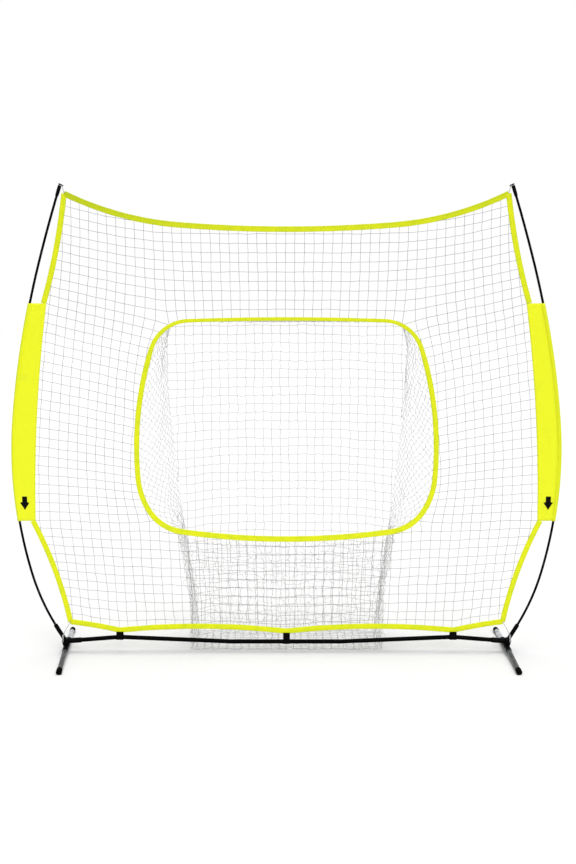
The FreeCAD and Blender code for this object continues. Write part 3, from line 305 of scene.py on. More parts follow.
def bright_zinc():
    f = Finish("bright_zinc")
    spangle = f.node("ShaderNodeTexVoronoi", None, {"Vector": f.place(), "Scale": 420.0}).outputs["Color"]
    cloud = f.noise(60, 3)
    f.set(Base_Color=f.mix(cloud * 0.5, (0.68, 0.69, 0.70), spangle_tone(f, spangle)), Metallic=1.0,
          Roughness=0.2 + cloud * 0.2)
    return f.material


def spangle_tone(f, color):
    """Turns the spangle's random colours to close greys."""
    grey = f.node("ShaderNodeRGBToBW", None, {0: color}).outputs[0]
    return f.tint(((0.0, (0.50, 0.51, 0.53)), (1.0, (0.78, 0.78, 0.79))), grey)


def moulded_plastic():
    f = Finish("black_moulded_plastic")
    grain, cloud = f.noise(1400, 2), f.noise(30, 3)
    f.set(Base_Color=f.mix(cloud.between(0.4, 0.75), (0.001, 0.001, 0.0012), (0.004, 0.004, 0.0043)),
          Specular_IOR_Level=0.03, Roughness=0.42 + grain * 0.15, Normal=f.bump(grain, 0.0002))
    return f.material


def cap_rubber():
    """Black rubber, dusty where it meets the floor."""
    f = Finish("cap_rubber")
    grain, cloud = f.noise(1100, 3), f.noise(45, 4)
    dust = (0.012 - f.axis(2)).between(-0.006, 0.012) * cloud.between(0.35, 0.7)
    f.set(Base_Color=f.mix(dust, (0.001, 0.001, 0.001), (0.012, 0.0115, 0.011)), Roughness=0.7 + grain * 0.2,
          Specular_IOR_Level=0.03, Normal=f.bump(grain, 0.0003))
    return f.material


def weave_height(f, thread):
    """A plain weave on the cloth's own coordinates."""
    along, across = f.cloth_place()
    over = along.wave(2 * thread) * across.wave(2 * thread)
    ribs = along.wave(thread).through("ABSOLUTE") + across.wave(thread).through("ABSOLUTE")
    return over * 0.5 + ribs * 0.5


def neon_webbing():
    """Folded polyester webbing: a ribbed weave, with painted shade along its fold and by its place on the
    net, from the shade attribute.
    """
    f = Finish("neon_webbing")
    weave, cloud = weave_height(f, 0.0016), f.noise(26, 4)
    shade = f.attribute("shade")
    bright = f.mix(cloud.between(0.35, 0.8), YELLOW, (0.70, 0.80, 0.02))
    base = f.mix(weave.between(-0.2, 0.5), SHADED_YELLOW, bright)
    # painted shade: the shade attribute mixes the colour towards SHADED_YELLOW
    f.set(Base_Color=f.mix(shade, base, SHADED_YELLOW), Roughness=0.72 + weave * 0.1,
          Normal=f.bump(weave, 0.0003), Specular_IOR_Level=0.15)
    return f.material


def neon_oxford():
    """The sleeves' oxford cloth, with painted shade from the shade attribute."""
    f = Finish("neon_oxford_cloth")
    weave, cloud = weave_height(f, 0.0009), f.noise(12, 4)
    base = f.mix(weave.between(-0.3, 0.5), (0.72, 0.80, 0.015), (0.88, 0.93, 0.02))
    shade = f.attribute("shade")
    soiled = f.mix(cloud.between(0.55, 0.85), base, (0.74, 0.82, 0.03))
    f.set(Base_Color=f.mix(shade, soiled, SHADED_YELLOW), Roughness=0.66 + weave * 0.08,
          Normal=f.bump(weave, 0.0002), Specular_IOR_Level=0.15)
    return f.material


def twine(name, dark, pale):
    """Twisted nylon twine, pale grey and a little uneven."""
    f = Finish(name)
    cloud = f.noise(7, 3)
    strands = f.noise(1600, 1)
    base = f.mix(cloud.between(0.3, 0.7), dark, pale)
    f.set(Base_Color=f.mix(strands.between(0.3, 0.7) * 0.4, base, dark), Roughness=0.75,
          Normal=f.bump(strands, 0.0002))
    return f.material


def elastic_cord():
    f = Finish("grey_elastic_cord")
    braid = f.noise(1500, 1)
    f.set(Base_Color=f.mix(braid.between(0.35, 0.65), (0.22, 0.22, 0.22), (0.55, 0.55, 0.54)), Roughness=0.8,
          Normal=f.bump(braid, 0.0003))
    return f.material


def strap_cloth():
    """Black hook-and-loop strap with its looped pile."""
    f = Finish("black_strap")
    pile, cloud = f.noise(1300, 4), f.noise(80, 3)
    f.set(Base_Color=f.mix(pile.between(0.4, 0.8), (0.0015, 0.0015, 0.0015), (0.007, 0.007, 0.0075)),
          Roughness=0.85 + cloud * 0.1, Normal=f.bump(pile, 0.0006), Specular_IOR_Level=0.03)
    return f.material


def sewing_thread():
    f = Finish("yellow_sewing_thread")
    twist = f.noise(2400, 1)
    f.set(Base_Color=f.mix(twist.between(0.3, 0.7), (0.50, 0.58, 0.01), (0.72, 0.80, 0.02)), Roughness=0.6)
    return f.material


def black_print():
    """Screen print that lets a little of the cloth's weave through."""
    f = Finish("black_print")
    weave, cloud = f.noise(1500, 2), f.noise(200, 3)
    f.set(Base_Color=f.mix(cloud.between(0.55, 0.8), (0.002, 0.002, 0.002), (0.008, 0.008, 0.006)),
          Roughness=0.55 + weave * 0.15, Normal=f.bump(weave, 0.0002), Specular_IOR_Level=0.05)
    return f.material


FINISHES = {
    "frame_steel": powder_black(), "foot_steel": plated_tube(), "bare_steel": bright_zinc(),
    "fibreglass": black_fibreglass(), "black_plastic": moulded_plastic(), "rubber": cap_rubber(),
    "netting": twine("netting_twine", (0.14, 0.14, 0.145), (0.25, 0.25, 0.255)),
    "slack_netting": twine("slack_netting_twine", (0.22, 0.22, 0.225), (0.33, 0.33, 0.335)),
    "bag_netting": twine("bag_netting_twine", (0.40, 0.40, 0.405), (0.54, 0.54, 0.545)),
    "webbing": neon_webbing(), "sleeve_cloth": neon_oxford(), "thread": sewing_thread(),
    "elastic": elastic_cord(), "strap": strap_cloth(), "print": black_print(),
    "black_steel": blackened_steel(),
}


# Meshes


def placed(name, data):
    """A new object of this data, at the origin and in the scene."""
    made = bpy.data.objects.new(name, data)
    bpy.context.scene.collection.objects.link(made)
    return made


def mesh_piece(name, points, faces, finish, uvs=None, shades=None):
    """An object at the origin from points and faces, with an optional UV and shade for each point."""
    mesh = bpy.data.meshes.new(name)
    mesh.from_pydata([tuple(p) for p in points], [], faces)
    mesh.materials.append(FINISHES[finish])
    if uvs is not None:
        layer = mesh.uv_layers.new(name="cloth")
        for loop in mesh.loops:
            layer.data[loop.index].uv = uvs[loop.vertex_index]
    if shades is not None:
        mesh.attributes.new("shade", "FLOAT", "POINT").data.foreach_set("value", shades)
    mesh.shade_smooth()
    return placed(name, mesh)


def ring_faces(rings, around, closed_run):
    """Quads between rows of rings, joined end to end if the run is closed."""
    faces = []
    for i in range(rings if closed_run else rings - 1):
        a, b = i * around, (i + 1) % rings * around
        for j in range(around):
            k = (j + 1) % around
            faces.append((a + j, a + k, b + k, b + j))
    return faces


def end_faces(rings, around):
    """What closes the first and the last of some rings."""
    last = (rings - 1) * around
    return [tuple(range(around - 1, -1, -1)), tuple(range(last, last + around))]


def grid_faces(rows, wide):
    """Quads between rows of points."""
    return [(a, a + 1, a + wide + 1, a + wide)
            for row in range(rows - 1) for a in range(row * wide, row * wide + wide - 1)]


def turned_over(faces):
    return [face[::-1] for face in faces]


def thicken(piece, thickness, offset):
    wall = piece.modifiers.new("cloth", "SOLIDIFY")
    wall.thickness, wall.offset = thickness, offset


def attach(piece, slot, *nodes):
    """Let a piece ride on the frame and stand for its CAD nodes; its slot is not used."""
    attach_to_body(piece, "frame")
    if nodes:
        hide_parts(*nodes)


def wobble(*place):
    """Smooth noise about 0 at a place of up to three numbers."""
    return noise.noise(Vector((*place, 0.0, 0.0)[:3]))


def clamp(share):
    return max(0.0, min(1.0, share))


def read_off(table, place):
    """A value read between the rows of a table of (place, value)."""
    return float(np.interp(place, *zip(*table)))


def runs_along(line):
    """The distance along a line of each of its points."""
    return np.concatenate(([0], np.cumsum(np.linalg.norm(np.diff(line, axis=0), axis=1))))


# Lines of the net's upright plane, as arrays of (x, z)


def bow_line(start, end, bow, count=24):
    """Points of the arc from start to end that stands bow to the left of its chord."""
    start, end = np.array(start), np.array(end)
    chord = end - start
    left = np.array((-chord[1], chord[0])) / np.linalg.norm(chord)
    if abs(bow) < 1e-9:
        return start + chord * np.linspace(0, 1, count + 1)[:, None]
    half, sign = np.linalg.norm(chord) / 2, math.copysign(1.0, bow)
    radius = (half * half + bow * bow) / (2 * abs(bow))
    centre = (start + end) / 2 - left * sign * (radius - abs(bow))
    first = start - centre
    angles = -sign * np.linspace(0, 2 * math.atan2(half, radius - abs(bow)), count + 1)
    turned = np.stack((first[0] * np.cos(angles) - first[1] * np.sin(angles),
                       first[0] * np.sin(angles) + first[1] * np.cos(angles)), 1)
    return centre + turned


def tangent_line(points, heading):
    """Arcs through the points, each one tangent to the one before it."""
    lines = []
    for start, end in zip(points[:-1], points[1:]):
        run, rise = end[0] - start[0], end[1] - start[1]
        half_turn = math.remainder(math.atan2(rise, run) - heading, 2 * math.pi)
        lines.append(bow_line(start, end, -math.hypot(run, rise) / 2 * math.tan(half_turn / 2)))
        heading += 2 * half_turn
    return joined(lines)


def joined(lines):
    return np.concatenate([lines[0]] + [line[1:] for line in lines[1:]])


def mirror(line):
    return line * (-1, 1)


def pole_line():
    """The right-hand pole's axis, from the hub to its tip."""
    place, points = np.array((HUB_X, HUB_Z)), []
    stretches = [(POLE_ROOT, POLE_LEANS[0], POLE_LEANS[0]),
                 (POLE_ARC - POLE_ROOT, POLE_LEANS[0], POLE_LEANS[1])]
    stretches += [(POLE_ARC, a, b) for a, b in zip(POLE_LEANS[1:-1], POLE_LEANS[2:])]
    for length, lean_from, lean_to in stretches:
        count = math.ceil(length / POLE_STEP)
        for i in range(count):
            points.append(place.copy())
            lean = math.radians(lean_from + (lean_to - lean_from) * (i + 0.5) / count)
            place += np.array((math.sin(lean), math.cos(lean))) * length / count
    return np.array(points + [place])


POLE = pole_line()
POLE_TIP = POLE[-1]
TOP_CORNER = POLE_TIP - (TOP_CORNER_IN, TOP_CORNER_DOWN)


def x_at(line, z):
    """Where a line that climbs reaches a height."""
    return float(np.interp(z, line[:, 1], line[:, 0]))


def pole_x(z):
    return x_at(POLE, z)


def sleeve_edge():
    """The arc along the right-hand sleeve's inner edge, upwards."""
    middle_z = (SLEEVE_BOTTOM_Z + SLEEVE_TOP_Z) / 2
    low = np.array((pole_x(SLEEVE_BOTTOM_Z) - SLEEVE_END_WIDTH, SLEEVE_BOTTOM_Z))
    middle = np.array((pole_x(middle_z) - SLEEVE_MIDDLE_WIDTH, middle_z))
    high = np.array((pole_x(SLEEVE_TOP_Z) - SLEEVE_END_WIDTH, SLEEVE_TOP_Z))
    chord = (high - low) / np.linalg.norm(high - low)
    bow = float(np.dot(middle - (low + high) / 2, (-chord[1], chord[0])))
    return bow_line(low, high, bow, 60)


SLEEVE_EDGE = sleeve_edge()


def top_hem_line():
    flat = (TOP_HEM_FLAT_X, TOP_HEM_Z + TOP_HEM_FLAT_RISE)
    right = tangent_line([(0.0, TOP_HEM_Z), flat, tuple(TOP_CORNER)], 0.0)
    return joined([mirror(right)[::-1], right])


def bottom_hem_line():
    middle, strap = (0.0, BOTTOM_HEM_Z), (STRAP_X, BOTTOM_HEM_Z + STRAP_HEM_RISE)
    right = joined([bow_line(middle, strap, BOTTOM_CREST_RISE),
                    bow_line(strap, BOTTOM_CORNER, CORNER_HEM_BOW)])
    return joined([mirror(right)[::-1], right])


def upper_hem_line():
    return bow_line(SLEEVE_EDGE[-1] + (SIDE_HEM_WIDTH / 2, 0), TOP_CORNER, UPPER_HEM_BOW)


def lower_hem_line():
    return bow_line(BOTTOM_CORNER, SLEEVE_EDGE[0] + (SIDE_HEM_WIDTH / 2, 0), LOWER_HEM_BOW)


def mouth_half_line():
    return tangent_line([(0.0, MOUTH_TOP_Z), *MOUTH_POINTS, (0.0, MOUTH_BOTTOM_Z)], 0.0)


def mouth_line():
    """The whole mouth, without its first point again at the end."""
    right = mouth_half_line()
    return joined([right, mirror(right)[::-1]])[:-1]


def even_steps(line, step, closed=False):
    """The line's points spread evenly, and the distance along it of each."""
    if closed:
        line = np.concatenate((line, line[:1]))
    runs = runs_along(line)
    count = max(2, round(runs[-1] / step))
    places = np.linspace(0, runs[-1], count + 1)
    if closed:
        places = places[:-1]
    return np.stack([np.interp(places, runs, line[:, k]) for k in range(line.shape[1])], 1), places


# Webbing

# How square the corners of the webbing's outline are, and the angles of its points
WEBBING_SQUARENESS = 0.45
WEBBING_SECTION = [math.radians(a) for a in (0, 25, 50, 72, 90, 108, 130, 155, 180, 205, 230, 252, 270,
                                             288, 310, 335)]
STITCH_CORNERS = (2, 6, 10, 14)
STITCH_PITCH = 0.0052
STITCH_LENGTH = 0.0036
THREAD_RADIUS = 0.00045
WEBBING_THREAD_LIFT = 0.0002
SLEEVE_THREAD_LIFT = 0.0003
stitch_rows = []


def squared(value):
    """A sine or cosine that makes an outline squarer than an ellipse."""
    return math.copysign(abs(value) ** WEBBING_SQUARENESS, value)


def webbing(name, line, width, thickness, shade, node, closed=False, seed=0.0):
    """A folded strip of webbing along a line, a little puckered, with its rows of stitches."""
    points, runs = even_steps(line, EDGE_STEP, closed)
    ahead = np.roll(points, -1, 0) - np.roll(points, 1, 0)
    if not closed:
        ahead[0], ahead[-1] = points[1] - points[0], points[-1] - points[-2]
    ahead /= np.linalg.norm(ahead, axis=1)[:, None]
    rows, uvs, shades = [], [], []
    for (x, z), (run_x, run_z), s in zip(points, ahead, runs):
        half = width(z) / 2 * (1 + 0.05 * wobble(s * 16, seed))
        bend = 0.0011 * wobble(s * 11, seed + 5)
        for angle in WEBBING_SECTION:
            across, lift = squared(math.cos(angle)), squared(math.sin(angle))
            fold = 1.0 + 0.2 * across
            rows.append((x - run_z * across * half, bend - lift * fold * thickness / 2.4,
                         z + run_x * across * half))
            uvs.append((s, across * half))
            shades.append(shade(x, z, across))
    around = len(WEBBING_SECTION)
    faces = ring_faces(len(points), around, closed)
    if not closed:
        faces += end_faces(len(points), around)
    for corner in STITCH_CORNERS:
        row = np.array(rows[corner::around])
        out = np.array((0, -WEBBING_THREAD_LIFT if corner < around / 2 else WEBBING_THREAD_LIFT, 0))
        stitch_rows.append((row + out, closed))
    attach(mesh_piece(name, rows, turned_over(faces), "webbing", uvs, shades), "webbing", node)


def end_shade(x, z, across):
    """Painted shade on the top hem: darker along its fold and towards its corners, on the left most of all.
    """
    corner = (abs(x) / 0.99) ** 1.5 * (0.62 if x < 0 else 0.30)
    return min(0.9, 0.16 + corner + 0.22 * max(0.0, across))


# Painted shade for the other webbing: a little everywhere, more along one edge and more with height from 0.6
# m up to 1.6 m.
def plain_shade(x, z, across):
    return 0.03 + 0.10 * max(0.0, -across) + 0.10 * min(1.0, max(0.0, z - 0.6))


def band_width(z):
    return read_off(BAND_WIDTHS, z)


def build_webbing():
    webbing("top_hem_webbing", top_hem_line(), lambda z: TOP_HEM_WIDTH, HEM_THICKNESS, end_shade, "top_hem")
    webbing("bottom_hem_webbing", bottom_hem_line(), lambda z: BOTTOM_HEM_WIDTH, HEM_THICKNESS,
            plain_shade, "bottom_hem", seed=3.0)
    webbing("strike_zone_webbing", mouth_line(), band_width, BAND_THICKNESS, plain_shade,
            "strike_zone_band", closed=True, seed=7.0)
    for side, flip in SIDES:
        for level, line in (("upper", upper_hem_line()), ("lower", lower_hem_line())):
            webbing(f"{side}_{level}_hem_webbing", line * (flip, 1), lambda z: SIDE_HEM_WIDTH,
                    HEM_THICKNESS, plain_shade, side + "_side_hems", seed=flip * 11.0 + len(level))


# Geometry Nodes


class Tree(Nodes):
    """A small geometry node group with named inputs."""

    def __init__(self, name, inputs):
        super().__init__(bpy.data.node_groups.new(name, "GeometryNodeTree"))
        sockets = self.tree.interface
        for label, kind in (("Geometry", "Geometry"), *inputs.items(), ("Finish", "Material")):
            sockets.new_socket(label, in_out="INPUT", socket_type="NodeSocket" + kind)
        sockets.new_socket("Geometry", in_out="OUTPUT", socket_type="NodeSocketGeometry")
        self.inputs = self.node("NodeGroupInput").outputs

    def end(self, geometry):
        """Realize the instances, set the finish and close the tree."""
        real = self.node("GeometryNodeRealizeInstances", None, {0: geometry})
        done = self.node("GeometryNodeSetMaterial", None,
                         {"Geometry": real.outputs[0], "Material": self.inputs["Finish"]})
        self.node("NodeGroupOutput", None, {0: done.outputs[0]})
        return self.tree


def twine_tree():
    """Round twine along every edge of a mesh, and a knot on every point that is one."""
    tree = Tree("twine_and_knots", {"Twine Radius": "Float", "Knot Radius": "Float"})
    lines = tree.node("GeometryNodeMeshToCurve", None, {"Mesh": tree.inputs["Geometry"]})
    ring = tree.node("GeometryNodeCurvePrimitiveCircle", None,
                     {"Resolution": TWINE_SIDES, "Radius": tree.inputs["Twine Radius"]})
    tubes = tree.node("GeometryNodeCurveToMesh", None,
                      {"Curve": lines.outputs[0], "Profile Curve": ring.outputs[0], "Fill Caps": True})
    ball = tree.node("GeometryNodeMeshIcoSphere", None,
                     {"Radius": tree.inputs["Knot Radius"], "Subdivisions": 1})
    tied = tree.node("GeometryNodeInputNamedAttribute", {"data_type": "BOOLEAN"}, {"Name": "knot"})
    knots = tree.node("GeometryNodeInstanceOnPoints", None,
                      {"Points": tree.inputs["Geometry"], "Selection": tied.outputs[0],
                       "Instance": ball.outputs[0]})
    both = tree.node("GeometryNodeJoinGeometry")
    for part in (tubes, knots):
        tree.fill(both.inputs[0], part.outputs[0])
    return tree.end(both.outputs[0])


def stitch_tree():
    """Short stitches in line along every curve."""
    tree = Tree("stitches", {"Stitch Pitch": "Float", "Stitch Length": "Float", "Thread Radius": "Float"})
    points = tree.node("GeometryNodeCurveToPoints", {"mode": "LENGTH"},
                       {"Curve": tree.inputs["Geometry"], "Length": tree.inputs["Stitch Pitch"]})
    size = tree.node("ShaderNodeCombineXYZ", None,
                     {0: tree.inputs["Thread Radius"], 1: tree.inputs["Thread Radius"],
                      2: tree.inputs["Stitch Length"]})
    bead = tree.node("GeometryNodeMeshCone", None,
                     {"Vertices": 5, "Radius Top": 0.7, "Radius Bottom": 0.7, "Depth": 1.0})
    laid = tree.node("GeometryNodeInstanceOnPoints", None,
                     {"Points": points.outputs["Points"], "Instance": bead.outputs["Mesh"],
                      "Rotation": points.outputs["Rotation"], "Scale": size.outputs[0]})
    return tree.end(laid.outputs[0])


def grown(source, group, **values):
    """The mesh that a geometry node group makes of an object, which then goes."""
    modifier = source.modifiers.new(group.name, "NODES")
    modifier.node_group = group
    for item in group.interface.items_tree:
        key = item.name.replace(" ", "_")
        if item.in_out == "INPUT" and key in values:
            modifier[item.identifier] = values[key]
    bpy.context.view_layer.update()
    ready = source.evaluated_get(bpy.context.evaluated_depsgraph_get())
    mesh = bpy.data.meshes.new_from_object(ready)
    name = source.name
    bpy.data.objects.remove(source)
    mesh.name = name
    return placed(name, mesh)


TWINE_TREE = twine_tree()
STITCH_TREE = stitch_tree()


def build_stitches():
    """All the rows of stitches that the webbing and the sleeves have laid down."""
    curve = bpy.data.curves.new("hem_stitches", "CURVE")
    curve.dimensions = "3D"
    for row, closed in stitch_rows:
        spline = curve.splines.new("POLY")
        spline.points.add(len(row) - 1)
        spline.points.foreach_set("co", np.concatenate((row, np.ones((len(row), 1))), 1).ravel())
        spline.use_cyclic_u = closed
    piece = grown(placed("hem_stitches", curve), STITCH_TREE, Stitch_Pitch=STITCH_PITCH,
                  Stitch_Length=STITCH_LENGTH, Thread_Radius=THREAD_RADIUS, Finish=FINISHES["thread"])
    attach(piece, "webbing")


# Netting

# Blender seeds noise_vector from the clock if nothing else does, and the twine would curl anew each run
noise.seed_set(CURL_SEED)


def inside(polygon, x, z):
    """Whether a point lies in a closed polygon of (x, z) points."""
    x1, z1 = polygon[:, 0], polygon[:, 1]
    x2, z2 = np.roll(x1, -1), np.roll(z1, -1)
    crosses = (z1 > z) != (z2 > z)
    reach = np.where(crosses, (x2 - x1) * (z - z1) / np.where(crosses, z2 - z1, 1.0) + x1, -1e9)
    return bool(np.count_nonzero(reach > x) % 2)


def lattice(across, up, keep, shift=0.0):
    """A square net cut along an edge, in steps of the net: first its knots, then the points where
    its twine meets the edge. Each twine has its two ends and the share of a step that it runs."""
    number, steps, twine = {}, [], []
    for u in range(-across, across + 1):
        for v in range(up[0], up[1] + 1):
            if keep(u + shift, v):
                number[u, v] = len(steps)
                steps.append((u + shift, v))
    knots = len(steps)
    for (u, v), here in number.items():
        for du, dv in ((1, 0), (0, 1), (-1, 0), (0, -1)):
            there = number.get((u + du, v + dv))
            if there is None:
                share = share_to_edge(u + shift, v, du, dv, keep)
                twine.append((here, len(steps), share))
                steps.append((u + shift + du * share, v + dv * share))
            elif du + dv > 0:
                twine.append((here, there, 1.0))
    return steps, twine, knots


def share_to_edge(u, v, du, dv, keep):
    """How much of a step a twine runs before it leaves the net."""
    near, far = 0.0, 1.0
    for _ in range(10):
        middle = (near + far) / 2
        if keep(u + du * middle, v + dv * middle):
            near = middle
        else:
            far = middle
    return max(near, 0.03)


def netting(name, net, points, curl, *node_names, finish="slack_netting"):
    """Twine along a net whose knots and ends lie at these points."""
    _, twine, knots = net
    slack = finish != "netting"
    points, edges = [Vector(p) for p in points], []
    for start, end, share in twine:
        chain = [start]
        for part in (1 / 3, 2 / 3) if share > 0.4 else ():
            place = points[start].lerp(points[end], part)
            place += noise.noise_vector(place * CURLS_PER_METRE) * curl
            place.z = max(place.z, LOWEST_TWINE_Z)
            place.y = max(place.y, 0.0) if slack else place.y
            chain.append(len(points))
            points.append(place)
        edges += zip(chain, chain[1:] + [end])
    mesh = bpy.data.meshes.new(name)
    mesh.from_pydata(points, edges, [])
    mesh.attributes.new("knot", "BOOLEAN", "POINT").data.foreach_set(
        "value", [i < knots for i in range(len(points))])
    radius = SLACK_TWINE_RADIUS if slack else TWINE_RADIUS
    piece = grown(placed(name, mesh), TWINE_TREE, Twine_Radius=radius, Knot_Radius=KNOT_RADIUS,
                  Finish=FINISHES[finish])
    attach(piece, "netting", *node_names)


def ripples(u, v, *waves):
    """How far a knot strays: the sum of smooth noises, each (size, waves to a step, seed)."""
    return sum(size * wobble(u * often, v * often, seed) for size, often, seed in waves)


# The front netting is a rectangle of square net with a hole for the mouth. In steps of the net, from
# its lower edge: the rows at the corners of the side edges, and half the net's width at each
SIDE_ROWS = (0.0, 12.0, 36.0, 47.3)
NET_HALVES = (23.4, 25.6, 25.6, 23.8)
TOP_ROWS = (45.5, 47.3)
BOTTOM_ROWS = (0.4, 0.0)
NET_SHIFT = -0.1
NET_ACROSS = 26
NET_UP = (-1, 49)
# The hole's rows, half its width at each, and how far its lower edge dips between its corners
HOLE_ROWS = (12.0, 24.0, 36.0)
HOLE_HALVES = (13.6, 14.7, 13.3)
HOLE_DIP = 1.1
# Where the hole's corners come to lie on the strike zone's band, and how much the rows gather there
MOUTH_CORNERS = ((0.530, 1.515), (0.600, 0.635))
MOUTH_GATHER = 0.030
UPPER_ROW_Z = 1.655


class Edge:
    """A line that netting is sewn to."""

    def __init__(self, *lines):
        self.line = np.concatenate(lines)
        self.runs = runs_along(self.line)

    def at(self, run):
        return [float(np.interp(run, self.runs, self.line[:, k])) for k in (0, 1)]

    def nearest(self, place):
        return float(self.runs[int(np.argmin(np.linalg.norm(self.line - place, axis=1)))])


def half_of(line):
    return line[len(line) // 2:]


SIDE_EDGE = Edge(lower_hem_line(), SLEEVE_EDGE + (0.006, 0.0), upper_hem_line())
TOP_EDGE = Edge(half_of(top_hem_line()))
BOTTOM_EDGE = Edge(half_of(bottom_hem_line()))
MOUTH_EDGE = Edge(even_steps(mouth_half_line(), 0.004)[0])
SIDE_RUNS = (0.0, SIDE_EDGE.nearest(SLEEVE_EDGE[0]), SIDE_EDGE.nearest((1.05, UPPER_ROW_Z)),
             SIDE_EDGE.runs[-1])
UPPER_RUN, LOWER_RUN = (MOUTH_EDGE.nearest(corner) for corner in MOUTH_CORNERS)


def top_row(u):
    return TOP_ROWS[0] + (TOP_ROWS[1] - TOP_ROWS[0]) * (u / NET_HALVES[-1]) ** 2


def bottom_row(u):
    return BOTTOM_ROWS[0] + (BOTTOM_ROWS[1] - BOTTOM_ROWS[0]) * abs(u) / NET_HALVES[0]


def net_half(v):
    return float(np.interp(v, SIDE_ROWS, NET_HALVES))


def hole_gaps(u, v):
    """How far a step lies outside the hole's side, its lower edge and its upper edge."""
    dip = HOLE_DIP * (1 - min(1.0, abs(u) / HOLE_HALVES[0]) ** 4)
    return abs(u) - float(np.interp(v, HOLE_ROWS, HOLE_HALVES)), HOLE_ROWS[0] - dip - v, v - HOLE_ROWS[2]


def in_front_net(u, v):
    return abs(u) <= net_half(v) and bottom_row(u) <= v <= top_row(u) and max(hole_gaps(u, v)) >= 0


def sewn_place(u, v):
    """The place, on the hem, sleeve or band that it is sewn to, of a step on the net's edge."""
    hole = hole_gaps(u, v)
    gaps = (net_half(v) - abs(u), top_row(u) - v, v - bottom_row(u), max(hole))
    nearest = gaps.index(min(gaps))
    if nearest == 0:
        x, z = SIDE_EDGE.at(np.interp(v, SIDE_ROWS, SIDE_RUNS))
    elif nearest == 1:
        x, z = TOP_EDGE.at(abs(u) / NET_HALVES[-1] * TOP_EDGE.runs[-1])
    elif nearest == 2:
        x, z = BOTTOM_EDGE.at(abs(u) / NET_HALVES[0] * BOTTOM_EDGE.runs[-1])
    elif hole.index(gaps[3]) == 0:
        share = (HOLE_ROWS[2] - v) / (HOLE_ROWS[2] - HOLE_ROWS[0])
        share += MOUTH_GATHER * math.sin(math.pi * share)
        x, z = MOUTH_EDGE.at(UPPER_RUN + (LOWER_RUN - UPPER_RUN) * share)
    elif hole.index(gaps[3]) == 1:
        end = MOUTH_EDGE.runs[-1]
        x, z = MOUTH_EDGE.at(end - abs(u) / HOLE_HALVES[0] * (end - LOWER_RUN))
    else:
        x, z = MOUTH_EDGE.at(abs(u) / HOLE_HALVES[2] * UPPER_RUN)
    return math.copysign(x, u), z


def hung(net, sewn):
    """Lets a net hang between its sewn ends: each knot settles where its twines pull evenly."""
    _, twine, knots = net
    pull, held = np.zeros((knots, knots)), np.zeros((knots, 2))
    for start, end, share in twine:
        pull[start, start] += 1 / share
        if end < knots:
            pull[end, end] += 1 / share
            pull[start, end] -= 1 / share
            pull[end, start] -= 1 / share
        else:
            held[start] += np.array(sewn[end - knots]) / share
    return np.linalg.solve(pull, held)


def build_front_netting():
    net = lattice(NET_ACROSS, NET_UP, in_front_net, NET_SHIFT)
    steps, _, knots = net
    sewn = [sewn_place(u, v) for u, v in steps[knots:]]
    points = []
    for (u, v), (x, z) in zip(steps, hung(net, sewn)):
        loose = 1.0 + max(0.0, 1.0 - v / 12)
        x += loose * ripples(u, v, (0.0030, 0.55, 1.0), (0.0012, 1.7, 2.0))
        z += loose * ripples(u, v, (0.0030, 0.55, 3.0), (0.0012, 1.7, 4.0))
        points.append((x, ripples(u, v, (0.0012, 0.3, 5.0)), z))
    points += [(x, 0.0, z) for x, z in sewn]
    netting("front_netting", net, points, FRONT_CURL,
            "net_top_panel", "net_bottom_panel", "net_left_panel", "net_right_panel", finish="netting")


def back_half(z):
    return read_off(BACK_HALF_WIDTHS, z)


def back_outline():
    right = [(half, z) for z, half in BACK_HALF_WIDTHS] + [ROOF_BACK]
    return np.array(right + [(-x, z) for x, z in right[::-1]])


def back_point(u, v):
    """A point of the pocket's back, which hangs slack and gathers towards the floor."""
    x, z = (u + 0.3) * PITCH, (v + 0.4) * PITCH
    loose = 1.0 + 1.2 * (1 - min(z / 0.6, 1.0))
    x += loose * ripples(u, v, (0.006, 0.35, 11.0), (0.002, 1.4, 12.0))
    z += loose * ripples(u, v, (0.008, 0.30, 13.0), (0.002, 1.4, 14.0))
    z -= (0.006 + 0.034 * max(0.0, 1 - z / 1.5)) * (abs(x) / 0.5) ** 3
    return (x, POCKET_BACK_Y + loose * ripples(u, v, (0.006, 0.25, 15.0)), z)


def build_pocket_back():
    outline = back_outline()

    def keep(u, v):
        x, _, z = back_point(u, v)
        return inside(outline, x, z)

    across = math.ceil(max(outline[:, 0]) / PITCH) + 1
    up = math.ceil(max(outline[:, 1]) / PITCH) + 1
    net = lattice(across, (0, up), keep)
    netting("pocket_back_netting", net, [back_point(u, v) for u, v in net[0]], BACK_CURL, "pocket_back")


def apron_y(share):
    """How far behind the net's plane the apron hangs at a share of its height."""
    return APRON_Y * (1 - share ** 3)


def wall_lines():
    """The pocket's front and back edges on the right, from the floor to the middle of the roof,
    as arrays of matching points."""
    front = [(half, apron_y(z / BAG_TOP_Z), z) for z, half in APRON_HALF_WIDTHS]
    back = [(back_half(z), POCKET_BACK_Y, z) for z, _ in APRON_HALF_WIDTHS]
    half_mouth, _ = even_steps(mouth_half_line()[::-1], 0.02)
    rise = [p for p in half_mouth if p[0] > MOUTH_POINTS[-1][0] or p[1] > CORNER_Z]
    roof_x = MOUTH_POINTS[0][0]
    corner_x = max(x for x, z in rise if z > CORNER_Z)
    corner_half = back_half(CORNER_Z)
    for x, z in rise:
        front.append((x, 0.0, z))
        if z <= CORNER_Z:
            back.append((back_half(z), POCKET_BACK_Y, z))
        elif x > roof_x:
            turn = (corner_x - x) / (corner_x - roof_x)
            back.append((corner_half + (ROOF_BACK[0] - corner_half) * turn ** 1.5, POCKET_BACK_Y,
                         CORNER_Z + (ROOF_BACK[1] - CORNER_Z) * min(1.0, turn * 1.6)))
        else:
            back.append((x * ROOF_BACK[0] / roof_x, POCKET_BACK_Y, ROOF_BACK[1]))
    return np.array(front), np.array(back)


